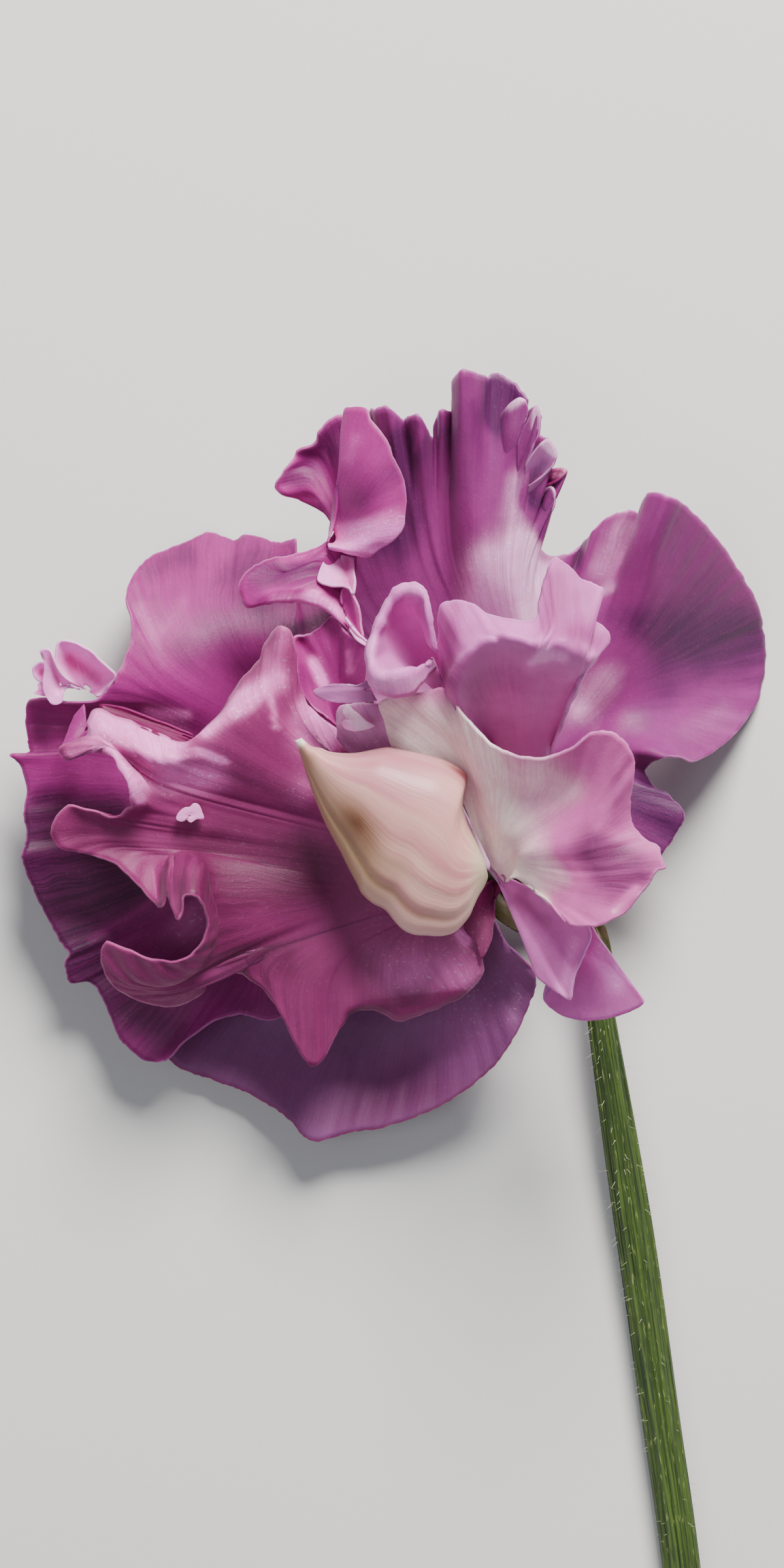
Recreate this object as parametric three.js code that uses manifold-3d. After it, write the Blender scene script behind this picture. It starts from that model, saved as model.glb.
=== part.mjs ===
// A picked sweet pea: one ribbed stem whose tip carries three ruffled blooms, lying on its back with
// the blooms facing up. Millimetres. +Z is up, away from the surface that it lies on, and the stem
// leaves the blooms along -Y.
import * as THREE from "three";
import { mergeVertices } from "three/addons/utils/BufferGeometryUtils.js";
import Module from "manifold-3d";

const wasm = await Module();
wasm.setup();

// ---------- driving dimensions ----------
const PETAL_THICKNESS = 0.65;
const CLAW_WIDTH = 1.8; // a petal's narrow foot in the calyx
const CLAW_SPACING = 1.0; // from one claw to the next in a calyx
const CLAW_DEPTH = 1.9; // below the calyx mouth
const NECK_SHARE = 0.22; // of a petal's length, where its claw stands upright
const NECK_RISE = 2.2; // how steeply a petal leaves its claw
const THROAT_WIDTH = 2.4; // where a petal leaves the calyx and starts to widen
// The rows of a petal's mesh, from 0 at the claw to 1 at the margin, and the share of its columns
// that each row has.
const ROWS = [0, 0.11, 0.22, 0.28, 0.35, 0.44, 0.55, 0.66, 0.75, 0.84, 0.92, 1];
const ROW_SHARES = [0.1, 0.1, 0.15, 0.3, 0.45, 0.6, 0.8, 1, 1, 1, 1, 1];
const STEM_RADIUS = 1.85;
const PEDICEL_RADIUS = 0.95;
const STEM_RIDGES = 9;
const STEM_RIDGE_HEIGHT = 0.13;
const CALYX_RADIUS = 3.8;
const CALYX_WALL = 0.7;
const CALYX_DEPTH = 4.6;
// The spot where the lowest petal touches the surface, in the drawing's own coordinates. It is the part's origin.
const REST_SPOT = [-18, -14, 0];

const GREEN = new THREE.MeshStandardMaterial({ color: 0x5c6b26, roughness: 0.6 });
const CALYX_GREEN = new THREE.MeshStandardMaterial({ color: 0x4a5520, roughness: 0.6 });
const PINK = new THREE.MeshStandardMaterial({ color: 0xb0559a, roughness: 0.5 });
const MAUVE = new THREE.MeshStandardMaterial({ color: 0x6f4274, roughness: 0.5 });
const CREAM = new THREE.MeshStandardMaterial({ color: 0xd8c3b4, roughness: 0.45 });

// ---------- blooms ----------
// Each bloom's calyx opens upwards. mouth is the middle of its rim, and spread is the direction, seen
// from above, in which its petals bend out of it. The petals stand one behind the other along it, and
// the foremost bends out first.
const BLOOMS = {
  a: { mouth: [10.4, -9.4, 12.8], spread: [-0.8, -0.6], sepalTurn: -58 },
  b: { mouth: [14.2, 1.2, 10.4], spread: [0.45, 0.9], sepalTurn: 10 },
  c: { mouth: [-4.8, -1.0, 7.6], spread: [-0.85, 0.5], sepalTurn: 30 },
};

// ---------- petals ----------
// A petal is a fan of main veins. Each vein runs from the claw over a crest to the margin, and its row
// here gives the crest and then the margin, as x, y and z. cup sinks the blade between claw and crest,
// so that it holds a hollow.
const PETALS = {
  standard_a: {
    bloom: "a", place: 1, throat: 16.6, cup: 1.0, material: PINK,
    veins: [
      [3, -3, 17.6, -1.5, 3.3, 18.6],
      [-1, -1, 17.8, -5.2, 5.5, 19.2],
      [-4, 1, 18.4, -8.6, 8.1, 20.0],
      [-7, 3.5, 19.4, -9.8, 12, 21.4],
      [-9, 6, 20.6, -10.3, 15.4, 22.5],
      [-11, 7, 21.6, -11.6, 16, 22.5],
      [-12.5, 7, 22.0, -13.2, 13.8, 20],
      [-14.5, 6, 22.0, -15.5, 11, 18.5],
      [-16.5, 4.8, 21.6, -17.5, 8.2, 18],
      [-18.5, 3.8, 21.0, -20, 6.3, 17.5],
      [-21, 3, 20.2, -22.8, 6.2, 16],
      [-23.8, 2.6, 19.4, -26.2, 7, 15.6],
      [-26.6, 3.1, 18.8, -30, 7.9, 15.4],
      [-27.8, 3.3, 18.8, -31.4, 6, 16.4],
      [-27, 2.2, 18.6, -30.4, 4.6, 18.4],
      [-25.4, 1, 18.2, -28.2, 3, 20.4],
      [-23.8, -0.4, 17.6, -26.5, 0.4, 20.6],
      [-23.4, -1.8, 17.0, -26.2, -2, 19],
      [-24.6, -3, 16.4, -28.4, -3.5, 17],
      [-27, -3.8, 16.0, -32.6, -2.4, 16.6],
      [-28.4, -4.8, 15.6, -34.8, -4.8, 16],
      [-27.8, -5.8, 15.2, -33.6, -7, 15.4],
      [-25.6, -6.8, 15.0, -29.6, -7.9, 15.4],
      [-23.2, -7.8, 15.0, -26.4, -10.2, 16.4],
      [-21.4, -8.4, 15.6, -24.2, -12.6, 18],
      [-19.8, -8.2, 17.0, -22.4, -10.4, 20.4],
      [-18.4, -9.4, 18.0, -20.6, -11.7, 22.6],
      [-17.3, -12, 18.0, -19.1, -13.7, 21.4],
      [-17, -14.4, 17.4, -19.2, -15.9, 20.4],
      [-17.5, -16.6, 16.6, -20.7, -17.6, 19.4],
      [-18.8, -18.6, 15.8, -24.4, -18, 18],
      [-20.4, -19.8, 15.2, -29.4, -16.2, 15.4],
      [-20.6, -20.6, 14.8, -29, -20, 13.8],
      [-19.6, -20.6, 14.4, -25, -22.4, 13],
      [-18, -19.2, 14.2, -20.6, -22, 13],
      [-16.2, -17.4, 14.0, -17.9, -19.7, 13],
      [-14.3, -17, 13.8, -15, -19.7, 13],
      [-12, -17.5, 13.6, -12.4, -21.9, 13.6],
      [-9.8, -18.6, 13.6, -10.5, -25.4, 15.2],
      [-7.5, -19.4, 13.8, -8.3, -28.8, 17.6],
      [-5.5, -18.6, 13.4, -5.9, -26, 15.6],
      [-3.5, -17.2, 13.2, -4, -23.4, 14],
      [-1.5, -17, 13.4, -1.9, -22.5, 14.4],
      [0.6, -17, 13.8, 1.5, -23, 14],
      [2.8, -16.5, 14.4, 4.8, -21.9, 14.2],
      [4.8, -15.6, 15.0, 7.8, -20.3, 14.6],
      [6, -14.6, 15.6, 9.1, -17.8, 15.4],
      [6.4, -13.4, 16.0, 8.2, -15.6, 16.4],
      [6.8, -12.2, 16.2, 7.4, -13.6, 16.6],
    ],
  },
  standard_a_outer: {
    bloom: "a", place: 2, throat: 14.6, cup: 0, material: MAUVE,
    veins: [
      [11.2, -15.6, 14.2, 11.4, -17, 13.2],
      [11.6, -16.2, 13.6, 13.3, -17.8, 12.4],
      [11.6, -17.2, 12.2, 14.8, -20, 10.8],
      [10.5, -18, 9.4, 14, -23, 8.8],
      [9.5, -20, 7.0, 12, -27, 8.4],
      [7.5, -22, 6.0, 9, -30.4, 7.4],
      [5, -24, 5.0, 4.7, -33.3, 6.6],
      [2, -25, 4.4, -0.5, -35.3, 5.6],
      [-1.5, -25.5, 4.0, -4.5, -36, 5.2],
      [-4.5, -25.5, 3.8, -8.3, -36.8, 5.6],
      [-7.5, -25, 3.4, -11, -34.3, 4.4],
      [-10, -24, 3.0, -14.8, -32, 3.2],
      [-12.5, -23, 2.6, -18.5, -30.6, 2.6],
      [-15, -21.5, 2.0, -22.5, -29, 2.2],
      [-16.5, -19, 0.6, -25, -25.5, 1.0],
      [-17, -16, -0.3, -26, -20, 0.2],
      [-16, -12, -0.5, -24, -13, -0.2],
      [-13, -8, 0, -20, -7, 0.3],
    ],
  },
  wing_a_right: {
    bloom: "a", place: -2, throat: 20.0, cup: -0.8, material: PINK,
    veins: [
      [6.4, -0.6, 21.4, -0.2, 4.0, 22.3],
      [6.2, 1.6, 22.0, -1.3, 7.9, 24.0],
      [7.2, 3.4, 23.8, 1.5, 8.6, 25.0],
      [6.8, 3.8, 27.6, 4.6, 8.2, 26.2],
      [8.2, 2.8, 28.4, 7, 8.2, 29.2],
      [9.8, 0.8, 29.2, 9.4, 5.2, 31.2],
      [12.4, -1.2, 30.2, 13.3, 2.7, 34],
      [15, -1.6, 31.0, 17, 2.8, 35.6],
      [17.5, -1.4, 32.0, 20, 4.8, 37],
      [19, -2, 33.0, 22.7, 5.1, 37.4],
      [20, -3, 33.6, 24.6, 2.6, 36.4],
      [20, -4.8, 34.2, 24.2, -1, 34.2],
      [19.5, -6.4, 34.0, 24.8, -4.2, 33.2],
      [19.5, -7.8, 33.4, 26.8, -6.3, 34.2],
      [19, -9.2, 32.8, 27.3, -8.2, 36],
      [18, -10.4, 32.2, 25.3, -11, 37],
      [17, -11.2, 31.4, 22.3, -13.1, 37],
      [16.2, -11.6, 30.6, 20, -14.2, 36],
      [15.4, -12, 29.6, 18.7, -15, 34.6],
      [15.2, -12.8, 28.4, 18.7, -17.6, 32.6],
      [14.9, -13.8, 27.4, 17.9, -21.5, 31],
      [14.2, -13.9, 26.4, 16, -20.4, 29],
      [13.6, -13.4, 25.0, 14.9, -19.4, 26],
      [13.8, -13.6, 23.2, 15.4, -21.9, 22.8],
      [15, -14, 22.4, 18.7, -23.8, 22.2],
      [16.2, -14, 22.4, 21.7, -23.9, 22.8],
      [17.2, -13.6, 22.8, 25.3, -22.1, 24.4],
      [16.6, -12.4, 23.0, 22.4, -17.8, 24.2],
    ],
  },
  wing_a_left: {
    bloom: "a", place: 0, throat: 17.8, cup: 0.2, material: PINK,
    veins: [
      [1, -3, 19.4, -5.6, 4.6, 21.0],
      [1.6, -1, 19.4, -4.5, 7.6, 22.2],
      [2.6, 0.5, 19.4, -2, 8, 22.4],
      [3.8, 1.5, 19.4, 0.8, 7.4, 21.6],
      [5, 1.5, 19.4, 3.6, 6, 20.8],
      [6, 0.5, 19.4, 5.6, 3.6, 20.0],
      [6.8, -1.5, 19.4, 6.8, 1, 19.8],
    ],
  },
  standard_b: {
    bloom: "b", place: 2, throat: 12.6, cup: 1.2, material: PINK,
    veins: [
      [9.5, 5.2, 12.8, 2, 5.6, 12.8],
      [6.5, 6.4, 12.2, -0.8, 7, 12.2],
      [4.2, 7.8, 11.2, -2.2, 9, 11.5],
      [2.4, 9.6, 10.8, -2.8, 11.6, 11],
      [1, 11.6, 10.4, -3.2, 14, 11],
      [0.2, 13.4, 10.2, -4, 18, 11.4],
      [0.4, 15, 10, -4, 24, 12.6],
      [1.2, 18, 11, -3, 31, 14.6],
      [2, 20, 12, -2.3, 37.8, 17],
      [2.7, 22, 13, -0.7, 38.5, 19.6],
      [3.3, 23, 13.5, 1.2, 37.1, 17.8],
      [4, 23.5, 14, 2.4, 37.6, 20],
      [4.8, 23.5, 13.5, 4.1, 35.3, 17],
      [5.5, 23.5, 13.5, 4.9, 38, 19.5],
      [6.3, 23.5, 14, 6.2, 38, 18],
      [7, 24, 16, 6.3, 41, 21.5],
      [7.8, 24, 18, 7.3, 42.1, 23.5],
      [8.8, 24, 18.5, 9.3, 41.7, 22],
      [9.6, 24, 18, 10.6, 41.8, 19.5],
      [10.5, 24, 18, 12.2, 41, 20],
      [11.2, 23.5, 18.5, 13.5, 39.2, 21],
      [11.8, 23, 19, 13.9, 37.6, 19.6],
      [12.3, 22.5, 19, 15, 37.8, 22.5],
      [12.8, 22, 18.5, 14.8, 35.4, 19.6],
      [13.1, 21.5, 18, 16.8, 34.2, 22],
      [13.4, 21, 17.5, 15.4, 31.8, 18.2],
      [13.7, 20.5, 17, 17.8, 31.8, 20.5],
      [13.9, 20, 16.5, 15.4, 29.8, 16.8],
      [14.1, 19.5, 16, 16.7, 28.9, 19.5],
      [14.4, 18.5, 15.5, 14.2, 25.4, 15],
      [15.3, 17.5, 14.5, 16.3, 23.5, 14],
      [16.5, 16.5, 13.5, 18.5, 23.6, 13.5],
      [17.8, 15.5, 13, 20.8, 26, 14],
      [18.8, 15, 12.5, 23.3, 27.8, 14.5],
      [20, 14.5, 12.5, 25.2, 27.3, 14],
      [21, 14, 14, 26.1, 29.6, 19],
      [22, 13.5, 16, 28.3, 29.3, 21],
      [23, 13.3, 16, 30, 28.4, 18],
      [24.2, 13, 14.5, 33.3, 25.2, 13],
      [25.2, 12.5, 13, 35.8, 21.8, 8],
      [26, 11.8, 11.5, 37.6, 19, 4],
      [26.3, 10.8, 10.5, 38.4, 15.5, 1.2],
      [26.3, 9.8, 10, 38.6, 12.5, 0.2],
      [26, 8.8, 10.2, 38.2, 9.8, 0.6],
      [25.7, 7.8, 11, 36.8, 7, 3],
      [25.2, 6.8, 12.5, 34.5, 4.6, 7],
      [24.8, 5.8, 13.5, 31.3, 2.4, 11],
      [23.5, 4.5, 14.5, 28.3, 2.7, 15.5],
      [22, 3, 13.5, 26.1, 1.3, 13],
      [22, 1.5, 13.2, 27, -0.5, 12.5],
      [22, 0, 13.2, 29.6, -2.2, 13],
      [21.8, -1.5, 13.4, 29.6, -4.2, 12.8],
      [21.5, -3, 13.5, 27.6, -7.3, 12.5],
    ],
  },
  wing_b_right: {
    bloom: "b", place: -1, throat: 19.4, cup: 4, material: PINK,
    veins: [
      [9.4, 5.4, 25, 8, 6.2, 22.6],
      [7.6, 8.4, 27.6, 6.3, 9.8, 24.2],
      [7.2, 10.8, 30, 5.8, 12.8, 27],
      [7.8, 13, 32, 5.8, 16, 29],
      [9.3, 14.3, 34, 5.6, 18.4, 30],
      [11, 14.7, 35, 8, 18.2, 31.5],
      [12.6, 14.5, 35.5, 10.3, 16.7, 34],
      [14, 14.2, 36, 13, 16.2, 35],
      [15, 14.1, 36.5, 14.9, 17.5, 34],
      [15.8, 14.1, 36.5, 15.8, 21, 31],
      [16.6, 13.9, 36.5, 16.8, 22.8, 30],
      [17.3, 13.5, 36, 18.4, 21.5, 31],
      [18, 13, 35.5, 20.3, 18.8, 32],
      [18.6, 12.4, 34.5, 21.7, 15.8, 32],
      [18.6, 11.2, 32.5, 21.8, 13.8, 30.5],
      [18, 9.5, 30, 19.6, 11.5, 29.5],
      [17, 7, 26.6, 18, 8.5, 27.2],
      [16.3, 4.8, 23.6, 17, 5.5, 24],
    ],
  },
  wing_b_left: {
    bloom: "b", place: 1, throat: 14.4, cup: 0.5, material: PINK,
    veins: [
      [6.9, 7.4, 20.2, 4.4, 12.2, 26.2],
      [5.4, 8.6, 20.0, 2.2, 10, 30],
      [4, 10, 20.5, 0.2, 9.2, 31],
      [2, 11.5, 22, -1.8, 9.6, 31],
      [0.8, 13, 23, -2.8, 12, 30],
      [0.5, 14.5, 23.5, -2.6, 15, 29],
      [1, 16, 24, -1, 17.6, 29],
      [1.7, 17, 24.5, 0.8, 20, 29],
      [2.6, 17, 25, 2.8, 20.3, 29.5],
      [3.2, 16, 25, 3.9, 18.8, 30],
      [4.0, 14, 24, 4.4, 15.6, 29],
    ],
  },
  standard_c: {
    bloom: "c", place: 2, throat: 9.4, cup: 1.2, material: PINK,
    veins: [
      [-4, 10, 7.6, -3.4, 17, 7],
      [-6, 13, 8, -5.4, 22, 6],
      [-9, 15.5, 8.4, -9.9, 25.2, 4.2],
      [-12, 16.5, 8.8, -12.3, 25, 2.4],
      [-14, 17, 9, -14.7, 25.6, 0.8],
      [-16.5, 17, 9.5, -16.8, 25.2, 0.2],
      [-18.5, 16.5, 10.5, -19, 25.9, 1.4],
      [-20.5, 15.5, 11.5, -22.3, 24.8, 3.5],
      [-22, 14.5, 12.5, -25, 23.4, 6],
      [-23, 13, 13, -27, 21.4, 8.5],
      [-23, 11.5, 13, -27.4, 18.5, 11],
      [-22.5, 10, 12.5, -26.8, 14.5, 13],
      [-23, 8.5, 11.5, -28.3, 11.3, 14],
      [-25, 7.6, 10.4, -31, 13.2, 14.6],
      [-26.5, 7.4, 10, -34.2, 14.6, 15],
      [-27.5, 7.2, 9.6, -36.6, 12.6, 13.5],
      [-28, 6.8, 9, -35.8, 9, 12],
      [-28, 6, 8.4, -37.6, 8.4, 9],
      [-28, 4.8, 7.6, -37.6, 5, 8.5],
      [-27.6, 3, 7, -39.4, 3, 10],
      [-27, 0, 7, -38.2, -1.5, 8],
      [-26.5, -3, 7, -38, -6.5, 8.5],
      [-26, -6, 7, -37.6, -9.5, 8],
      [-25, -9, 7, -35.5, -14.3, 7.5],
      [-24, -11.5, 7, -33.4, -17, 8.5],
      [-23, -13.5, 7, -33.6, -20, 7],
      [-21.5, -15.5, 6.5, -30, -21.5, 6.5],
      [-20, -17.5, 6.5, -28.3, -26, 6],
      [-18.5, -18.5, 6.5, -25.5, -28.6, 6],
      [-17, -19, 6.5, -23, -28.4, 7],
      [-15, -19, 7, -19, -24.6, 8],
      [-13, -18, 7.5, -15.5, -23.7, 8.5],
      [-10.5, -16.5, 8, -12.3, -24.4, 9],
      [-7.5, -14, 8, -6, -21.5, 9.4],
    ],
  },
  wing_c_right: {
    bloom: "c", place: 1, throat: 11.0, cup: 0.5, material: PINK,
    veins: [
      [-8.6, 12, 13, -12.6, 16.6, 17.4],
      [-8.8, 13.5, 14, -15, 18, 18.4],
      [-8.6, 14.8, 15, -15.8, 20, 18.6],
      [-8.3, 16, 16, -14.8, 21.8, 18],
      [-7.9, 17, 16.8, -12.5, 23, 17.5],
      [-7.5, 18, 17.4, -9.5, 23.1, 18],
      [-7, 19, 18, -7.2, 24.2, 18],
      [-6.4, 20, 18.4, -5.4, 27.5, 17.6],
      [-6, 20.5, 18.6, -8, 28.9, 16],
      [-5.8, 21, 18.8, -11.7, 30.1, 17],
      [-5.5, 21.3, 19, -10.3, 33.2, 17.4],
      [-5.2, 21.6, 19, -8, 35, 18.8],
      [-4.9, 21.8, 19.3, -6.6, 37.3, 20],
      [-4.6, 21.8, 20, -4.5, 38, 23],
      [-4.3, 21.6, 20.5, -2.6, 37.8, 24.5],
      [-4, 21.3, 21, -1, 35.5, 25],
      [-3.7, 20.9, 21, 0, 33.3, 25],
      [-3.4, 20.5, 21, 1.2, 31, 25],
      [-3.2, 20, 21, 1.4, 28.5, 25],
      [-3.2, 19.5, 21, 1.1, 26.2, 25],
      [-3.3, 19, 20.5, -0.5, 24.7, 24.5],
      [-3.6, 18.4, 20, -2.4, 23.2, 23.5],
      [-4, 17.4, 19, -3.6, 20.6, 21.5],
      [-4.4, 15.8, 17.6, -3.6, 18, 19.4],
    ],
  },
  keel_b: {
    bloom: "b", place: 0, throat: 16.0, cup: 0, material: CREAM,
    veins: [
      [12.8, 4.4, 18.6, 11.6, 8.2, 20],
      [14, 5, 17.8, 13.2, 9, 18.4],
      [15.2, 4.6, 18.6, 15, 8, 20],
    ],
  },
  keel_c: {
    bloom: "c", place: -1, throat: 14.2, cup: 0, material: CREAM,
    veins: [
      [-4.9, 1.4, 16.2, -5.3, 3, 16.6],
      [-4.2, 1.6, 15.9, -4.4, 3.6, 16.2],
      [-3.6, 1.4, 16.2, -3.2, 3, 16.6],
    ],
  },
  wing_c_left: {
    bloom: "c", place: 0, throat: 12.4, cup: 0.2, material: PINK,
    veins: [
      [-5.8, 6, 16, -8.6, 8.6, 16.6],
      [-6.6, 8, 16.8, -9.4, 11, 17.6],
      [-6.8, 9.5, 17.4, -9.6, 14, 18],
      [-6.4, 11, 17.8, -8.8, 16, 18.6],
      [-5.8, 12, 18.2, -6.3, 16.8, 19.6],
      [-5, 12, 18.6, -4.7, 15.8, 21],
      [-4.2, 11, 18.8, -2.6, 14, 22.4],
      [-3.8, 9.5, 18.4, -2.6, 11.4, 21.8],
      [-3.6, 8, 17.4, -2.8, 9.3, 20.4],
      [-3.4, 6, 16, -2, 6.4, 19],
    ],
  },
};

// A point on a uniform Catmull-Rom spline through points, at x from 0 to points.length - 1.
function spline(points, x) {
  const last = points.length - 1;
  const i = Math.min(Math.floor(x), last - 1);
  const f = x - i;
  const at = (k) => {
    if (k < 0) return points[0].clone().multiplyScalar(2).sub(points[1]);
    if (k > last) return points[last].clone().multiplyScalar(2).sub(points[last - 1]);
    return points[k];
  };
  const [a, b, c, d] = [at(i - 1), at(i), at(i + 1), at(i + 2)];
  const part = (p, q, r, s) =>
    0.5 * (2 * q + (r - p) * f + (2 * p - 5 * q + 4 * r - s) * f * f + (3 * q - p - 3 * r + s) * f * f * f);
  return new THREE.Vector3(part(a.x, b.x, c.x, d.x), part(a.y, b.y, c.y, d.y), part(a.z, b.z, c.z, d.z));
}

// The middle surface of a petal: across goes from 0 to 1 over its veins, and along from 0 at the claw
// to 1 at the margin.
function petalSurface({ bloom, place, throat, cup, veins }) {
  const mouth = new THREE.Vector3(...BLOOMS[bloom].mouth);
  const spread = new THREE.Vector3(...BLOOMS[bloom].spread, 0).normalize();
  const crests = veins.map((v) => new THREE.Vector3(v[0], v[1], v[2]));
  const margins = veins.map((v) => new THREE.Vector3(v[3], v[4], v[5]));
  const side = new THREE.Vector3(-spread.y, spread.x, 0);
  if (crests.at(-1).clone().sub(crests[0]).dot(side) < 0) side.negate();
  const foot = mouth.clone().addScaledVector(spread, place * CLAW_SPACING);
  foot.z -= CLAW_DEPTH;
  return (across, along) => {
    const x = across * (veins.length - 1);
    const start = foot.clone().addScaledVector(side, (across - 0.5) * CLAW_WIDTH);
    const neck = foot.clone().addScaledVector(side, (across - 0.5) * THROAT_WIDTH);
    neck.z = throat;
    const crest = spline(crests, x);
    const belly = neck.clone().lerp(crest, 0.5);
    belly.z -= cup;
    if (along < NECK_SHARE) return start.lerp(neck, along / NECK_SHARE);
    const below = belly.clone();
    below.z -= 2 * NECK_RISE;
    const step = (3 * (along - NECK_SHARE)) / (1 - NECK_SHARE);
    const point = spline([below, neck, belly, crest, spline(margins, x)], 1 + step);
    point.z = Math.max(point.z, PETAL_THICKNESS / 2);
    return point;
  };
}

// A closed sheet of PETAL_THICKNESS over a surface. Rows near the claw have fewer steps, and both
// faces are split alike.
function sheet(surface, columns) {
  const rows = ROWS.length - 1;
  const stepsAt = (row) => Math.max(2, Math.round(columns * ROW_SHARES[row]));
  const half = PETAL_THICKNESS / 2;
  const front = [];
  const back = [];
  const rowStarts = [];
  for (let row = 0; row <= rows; row++) {
    rowStarts.push(front.length);
    const steps = stepsAt(row);
    const along = ROWS[row];
    for (let k = 0; k <= steps; k++) {
      const across = k / steps;
      const point = surface(across, along);
      const d = 1e-3;
      const du = surface(Math.min(1, across + d), along).sub(surface(Math.max(0, across - d), along));
      const dv = surface(across, Math.min(1, along + d)).sub(surface(across, Math.max(0, along - d)));
      const normal = du.cross(dv).normalize().multiplyScalar(half);
      front.push(point.clone().add(normal));
      back.push(point.clone().sub(normal));
    }
  }
  const faces = [];
  for (let row = 0; row < rows; row++) {
    const [low, high] = [stepsAt(row), stepsAt(row + 1)];
    let [i, j] = [0, 0];
    while (i < low || j < high) {
      const [a, b] = [rowStarts[row] + i, rowStarts[row + 1] + j];
      const stepHigh = j < high && (i === low || (j + 1) / high <= (i + 1) / low + 1e-9);
      if (stepHigh) {
        faces.push([a, b + 1, b]);
        j++;
      } else {
        faces.push([a, a + 1, b]);
        i++;
      }
    }
  }
  const top = rowStarts[rows];
  const edge = [];
  for (let k = 0; k <= stepsAt(0); k++) edge.push(k);
  for (let row = 1; row <= rows; row++) edge.push(rowStarts[row] + stepsAt(row));
  for (let k = stepsAt(rows) - 1; k >= 0; k--) edge.push(top + k);
  for (let row = rows - 1; row >= 1; row--) edge.push(rowStarts[row]);
  const n = front.length;
  const index = [];
  for (const [a, b, c] of faces) index.push(a, b, c, n + a, n + c, n + b);
  edge.forEach((a, k) => {
    const b = edge[(k + 1) % edge.length];
    index.push(a, n + a, b, b, n + a, n + b);
  });
  const geometry = new THREE.BufferGeometry().setFromPoints([...front, ...back]);
  geometry.setIndex(index);
  return geometry;
}

// A closed solid between matching rings of points, with flat ends.
function loft(rings) {
  const sides = rings[0].length;
  const middles = [rings[0], rings.at(-1)].map((ring) =>
    ring.reduce((sum, p) => sum.add(p), new THREE.Vector3()).divideScalar(sides));
  const index = [];
  const first = rings.length * sides;
  for (let k = 0; k < sides; k++) {
    const next = (k + 1) % sides;
    index.push(first, next, k);
    index.push(first + 1, (rings.length - 1) * sides + k, (rings.length - 1) * sides + next);
    for (let r = 0; r < rings.length - 1; r++) {
      const [a, b] = [r * sides + k, r * sides + next];
      index.push(a, b, b + sides, a, b + sides, a + sides);
    }
  }
  const geometry = new THREE.BufferGeometry().setFromPoints([...rings.flat(), ...middles]);
  geometry.setIndex(index);
  return geometry;
}

// ---------- stem ----------
// The middle line of the stem from its cut end to calyx a, and of the two pedicels that branch off it.
const STEM_LINE = [
  [31.0, -90, 2.0], [29.6, -78, 2.0], [27.6, -64, 2.05], [25.6, -50, 2.2], [23.6, -37, 3.0],
  [21.6, -24, 4.4], [20.8, -17.5, 5.2], [18.2, -12.2, 5.8], [14.0, -9.8, 6.0], [10.9, -9.4, 6.1],
  [10.4, -9.4, 6.9], [10.4, -9.4, 7.9],
];
const PEDICEL_LINES = [
  [
    [20.8, -17.5, 5.0], [18.8, -10, 3.8], [15.8, -3, 3.0], [14.5, 0.8, 3.4], [14.2, 1.2, 4.5],
    [14.2, 1.2, 5.5],
  ],
  [
    [19.6, -14.5, 5.2], [14.4, -8, 3.6], [5, -3.6, 1.9], [-2, -1.6, 1.3], [-4.6, -1.0, 1.5],
    [-4.8, -1.0, 2.7],
  ],
];

// A round rod along a line of points; radiusAt gives its radius at a share of its length and at an angle round it.
function rod(points, radiusAt, steps, sides) {
  const curve = new THREE.CatmullRomCurve3(points.map((p) => new THREE.Vector3(...p)));
  const frames = curve.computeFrenetFrames(steps, false);
  const rings = [];
  for (let i = 0; i <= steps; i++) {
    const centre = curve.getPointAt(i / steps);
    const ring = [];
    for (let k = 0; k < sides; k++) {
      const angle = (k / sides) * 2 * Math.PI;
      const radius = radiusAt(i / steps, angle);
      ring.push(centre.clone()
        .addScaledVector(frames.normals[i], radius * Math.cos(angle))
        .addScaledVector(frames.binormals[i], radius * Math.sin(angle)));
    }
    rings.push(ring);
  }
  return loft(rings);
}

function toSolid(geometry) {
  const merged = mergeVertices(geometry, 1e-4);
  return new wasm.Manifold(new wasm.Mesh({
    numProp: 3,
    vertProperties: merged.attributes.position.array,
    triVerts: new Uint32Array(merged.index.array),
  }));
}

function toGeometry(solid) {
  const mesh = solid.getMesh();
  const geometry = new THREE.BufferGeometry();
  geometry.setAttribute("position", new THREE.BufferAttribute(mesh.vertProperties, 3));
  geometry.setIndex(new THREE.BufferAttribute(mesh.triVerts, 1));
  return geometry;
}

// The ribbed stem, with the pedicels of blooms b and c grown on it.
function stemGeometry() {
  const ridged = (share, angle) =>
    THREE.MathUtils.lerp(STEM_RADIUS, PEDICEL_RADIUS, THREE.MathUtils.smoothstep(share, 0.45, 1)) +
    STEM_RIDGE_HEIGHT * Math.cos(STEM_RIDGES * angle) * (1 - share);
  let stem = toSolid(rod(STEM_LINE, ridged, 40, STEM_RIDGES * 2));
  for (const line of PEDICEL_LINES) stem = stem.add(toSolid(rod(line, () => PEDICEL_RADIUS, 14, 10)));
  return toGeometry(stem);
}

// ---------- calyces ----------
// A calyx is a cup with five pointed sepals that droop from its rim. The profile gives the height over
// the foot and then the radius.
const CALYX_PROFILE = [
  [0, PEDICEL_RADIUS], [0.8, 2.3], [2.2, CALYX_RADIUS - 0.3], [CALYX_DEPTH, CALYX_RADIUS],
  [CALYX_DEPTH, CALYX_RADIUS - CALYX_WALL], [2.4, CALYX_RADIUS - CALYX_WALL - 0.2], [1.4, 1.2],
];
const SEPALS = 5;
// Along a sepal: distance out from the rim, height over the rim, and half its width and thickness.
const SEPAL_SECTIONS = [
  [-0.9, -1.2, 1.3, 0.3], [0.8, -1.3, 1.3, 0.32], [2.4, -1.7, 0.95, 0.3], [4.0, -2.6, 0.3, 0.2],
];

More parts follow.
